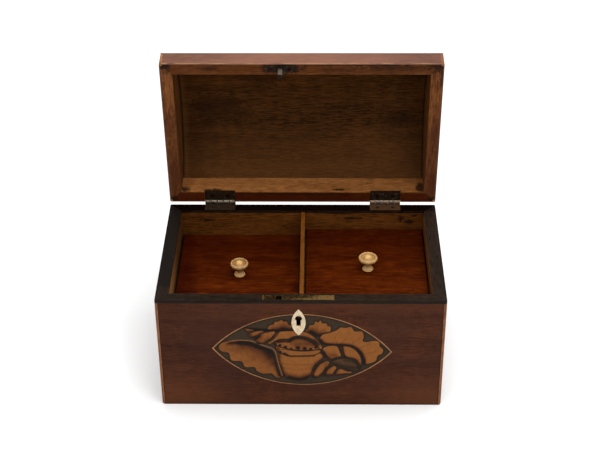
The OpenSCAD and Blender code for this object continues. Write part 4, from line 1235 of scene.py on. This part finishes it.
# %% Sand-shaded wood
def sand_shaded(name, light, toffee, burnt, seed):
    """A light wood whose colour follows the scorch, line and rim numbers on its points."""
    recipe = Recipe(name)
    where = recipe.place() + (seed * 19, 0, seed * 7)
    clouds = noise(where * (0.07, 0.07, 0.13), 3, 0.6)
    streaks = noise(where * (0.35, 1, 1.6), 3, 0.65)
    pores = ramp(noise(where * (0.5, 2, 2.6), 1), 0.6, 0.7)
    scorch, line, rim, lip = (recipe.node("ShaderNodeAttribute", {"attribute_name": n}, out="Fac")
                              for n in ("scorch", "line", "rim", "lip"))
    depth = scorch + (clouds - 0.5) * 0.4 + (streaks - 0.5) * 0.3
    figure = noise(where * (0.4, 1, 0.22), 2, 0.6, 0.6)
    pale = ramp(figure, 0.42, 0.62) * ramp(depth, 0.5, 0)
    dark = (line + rim * ramp(depth, -0.3, 0.3)).at_most(1)
    colour = tinted(
        recipe.mix(ramp(depth, -0.02, 0.4), light, toffee),
        (ramp(depth, 0.3, 0.75), burnt),
        (pores * 0.35, toffee),
        (pale * 0.3, tuple(1.4 * part for part in light)),
        (dark, BLACKENED),
        (lip, (0.33, 0.135, 0.05)),
    )
    return recipe.finish(base_color=colour, roughness=streaks * 0.2 + 0.4, specular_ior_level=0.06,
                         normal=recipe.bump(streaks * 0.2 - dark * 0.5, 0.04))


shell_wood = sand_shaded("sand_shaded_shells", (0.212, 0.0735, 0.0165), (0.105, 0.032, 0.008),
                         (0.012, 0.005, 0.003), 1)
leaf_wood = sand_shaded("sand_shaded_leaf", (0.085, 0.042, 0.016), (0.04, 0.02, 0.009),
                        (0.012, 0.008, 0.005), 3)
ground_wood = sand_shaded("dyed_ground_wood", (0.036, 0.0225, 0.0125), (0.018, 0.0115, 0.0065),
                          (0.008, 0.005, 0.003), 2)

# %% [markdown]
# A seat is any place inside a plate, so each entry finds the outline that it belongs to. The ground is
# laid the same way, and pale lips are let into it along the big shell's edge.

# %% Lay the plates
PLATE_STEP = 0.42 * MM
GROUND_STEP = 0.5 * MM
LINE_SHARP = 4
GROUND = [(None, 0.1, [(0.8, 0.9, (-38, 18.6), (-30, 18.2), (-20, 17.2), (-8, 17))], [])]
LIPS = [(0.8, 0.28, (-56.4, 0.2), (-54.9, 5), (-50.5, 7.9), (-44.5, 8.6), (-36, 8.2), (-31, 6.1), (-26, 3.6),
         (-20.6, 1.2), (-18.4, -2.6), (-17.2, -9), (-15.6, -17), (-14.2, -23))]


def inlay(name, stands_for, slot, entries, material, step, glue=0.22, lips=()):
    """All the plates of one CAD node, each with its own strokes, as a single piece. Dark glue shows
    within `glue` millimetres of an outline, and `lips` are pale lines let in afterwards."""
    low, high = node_box(stands_for)
    all_points, all_faces, scorch, line, rim, lip, count = [], [], [], [], [], [], 0
    loops = front_loops(stands_for)
    dress(stands_for, material)
    for seat, tone, strokes, lines in entries:
        if seat:
            at = np.array([seat]) * MM + np.array([[PANEL_X, PANEL_Z]]) * MM
            own = [loop for loop in loops if inside(at, [loop])[0]]
            assert len(own) == 1, (name, seat, len(own))
        else:
            own = loops
        points, faces = plate(own, low[1], high[1], step)
        flat = points[:, [0, 2]]
        edge = np.min([off_path(flat, np.concatenate([loop, loop[:1]])) for loop in own], axis=0)
        places = flat / MM - (PANEL_X, PANEL_Z)
        scorch.append(tone + (1 - tone) * stroked(places, strokes))
        line.append(stroked(places, lines, LINE_SHARP))
        rim.append(0.9 * np.exp(-(edge / (glue * MM)) ** 2))
        lip.append(stroked(places, lips))
        all_points.append(points)
        all_faces += [[corner + count for corner in face] for face in faces]
        count += len(points)
    new_piece(name, np.concatenate(all_points), all_faces, material, "case", slot, [stands_for],
              scorch=np.concatenate(scorch), line=np.concatenate(line), rim=np.concatenate(rim),
              lip=np.concatenate(lip))


inlay("shaded_shells", "shell_inlay", "sand_shaded_inlay", SHELLS, shell_wood, PLATE_STEP)
inlay("shaded_spires", "spire_inlay", "sand_shaded_inlay", SPIRES, shell_wood, PLATE_STEP)
inlay("shaded_corals", "coral_inlay", "sand_shaded_inlay", CORALS, shell_wood, PLATE_STEP)
inlay("shaded_leaf", "leaf_inlay", "sand_shaded_inlay", LEAVES, leaf_wood, PLATE_STEP, 0.45)
inlay("dyed_ground_plate", "panel_ground", "dyed_ground", GROUND, ground_wood, GROUND_STEP, 1.1, LIPS)

# %% [markdown]
# ## The escutcheon
# A pointed oval of bone, its edges rounded by years of polish. The plate's front is drawn back near its
# outline by a quarter circle: y = front + r - sqrt(r^2 - (r - d)^2) at a distance d from the edge.

# %% Bone escutcheon
low, high = node_box("escutcheon")
loops = front_loops("escutcheon")
points, faces = plate(loops, low[1], high[1], 0.3 * MM)
edge = np.min([off_path(points[:, [0, 2]], np.concatenate([loop, loop[:1]])) for loop in loops], axis=0)
ROUND = 0.35 * MM
near = ROUND - np.clip(edge, 0, ROUND)
front = points[:, 1] < (low[1] + high[1]) / 2
points[:, 1] += np.where(front, ROUND - np.sqrt(ROUND ** 2 - near ** 2), 0) * 0.7
new_piece("bone_escutcheon", points, faces, bone_finish, "case", "bone", ["escutcheon"])

# %% [markdown]
# ## The floor, the world and the lamps
# The caddy stands on white paper. What the camera sees of paper and sky is plain white by colour,
# while the lamps stay at a level where a mid-brown renders mid-brown, so the shadow is kept.

# %% Stage
def seen(recipe):
    """1 for the camera, mirrors and glass, 0 for the light that falls on things."""
    ray = recipe.node("ShaderNodeLightPath", out="Is Camera Ray")
    glossy = recipe.node("ShaderNodeLightPath", out="Is Glossy Ray")
    through = recipe.node("ShaderNodeLightPath", out="Is Transmission Ray")
    return ray.at_least(glossy).at_least(through)


FLOOR_SIZE = 6
PAPER_GLOW = 0.1
bpy.ops.mesh.primitive_plane_add(size=FLOOR_SIZE, location=(0, 0, 0))
floor = bpy.context.object
floor.name = "paper_floor"
paper = Recipe("paper")
floor.data.materials.append(paper.finish(
    base_color=(0.92, 0.92, 0.92), roughness=0.9, emission_color=seen(paper) * PAPER_GLOW,
    emission_strength=1, specular_ior_level=0))
floor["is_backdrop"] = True

world = bpy.data.worlds.new("studio")
bpy.context.scene.world = world
world.use_nodes = True
sky = world.node_tree
background = sky.nodes["Background"]
background.inputs["Color"].default_value = (1, 1, 1, 1)
SKY_LEVEL = 0.62
light_path = sky.nodes.new("ShaderNodeLightPath")
level = sky.nodes.new("ShaderNodeMapRange")
level.inputs["To Min"].default_value = SKY_LEVEL
level.inputs["To Max"].default_value = 1
sky.links.new(light_path.outputs["Is Camera Ray"], level.inputs["Value"])
sky.links.new(level.outputs[0], background.inputs["Strength"])


def softbox(name, place, aim, width, height, watts):
    """A rectangular lamp that faces a point."""
    data = bpy.data.lights.new(name, "AREA")
    data.shape = "RECTANGLE"
    data.size, data.size_y, data.energy = width, height, watts
    lamp = bpy.data.objects.new(name, data)
    towards = Vector(aim) - Vector(place)
    lamp.matrix_world = Matrix.Translation(place) @ towards.to_track_quat("-Z", "Y").to_matrix().to_4x4()
    bpy.context.collection.objects.link(lamp)
    print(name, "lamp of", watts, "watts")


softbox("overhead", (0.15, 0, 1.5), (0, 0, 0.1), 1.2, 1, 16)
softbox("front_right", (0.8, -1.2, 0.9), (0, 0, 0.1), 0.8, 0.8, 5)
softbox("front_left", (-0.9, -1.2, 0.9), (0, 0, 0.1), 0.8, 0.8, 3)

# %% [markdown]
# ## The box of what is seen
# The box of everything that is seen is printed in millimetres.

# %% Finish
low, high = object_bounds()
print("visual box in mm:", [round((b - a) / MM, 1) for a, b in zip(low, high)])
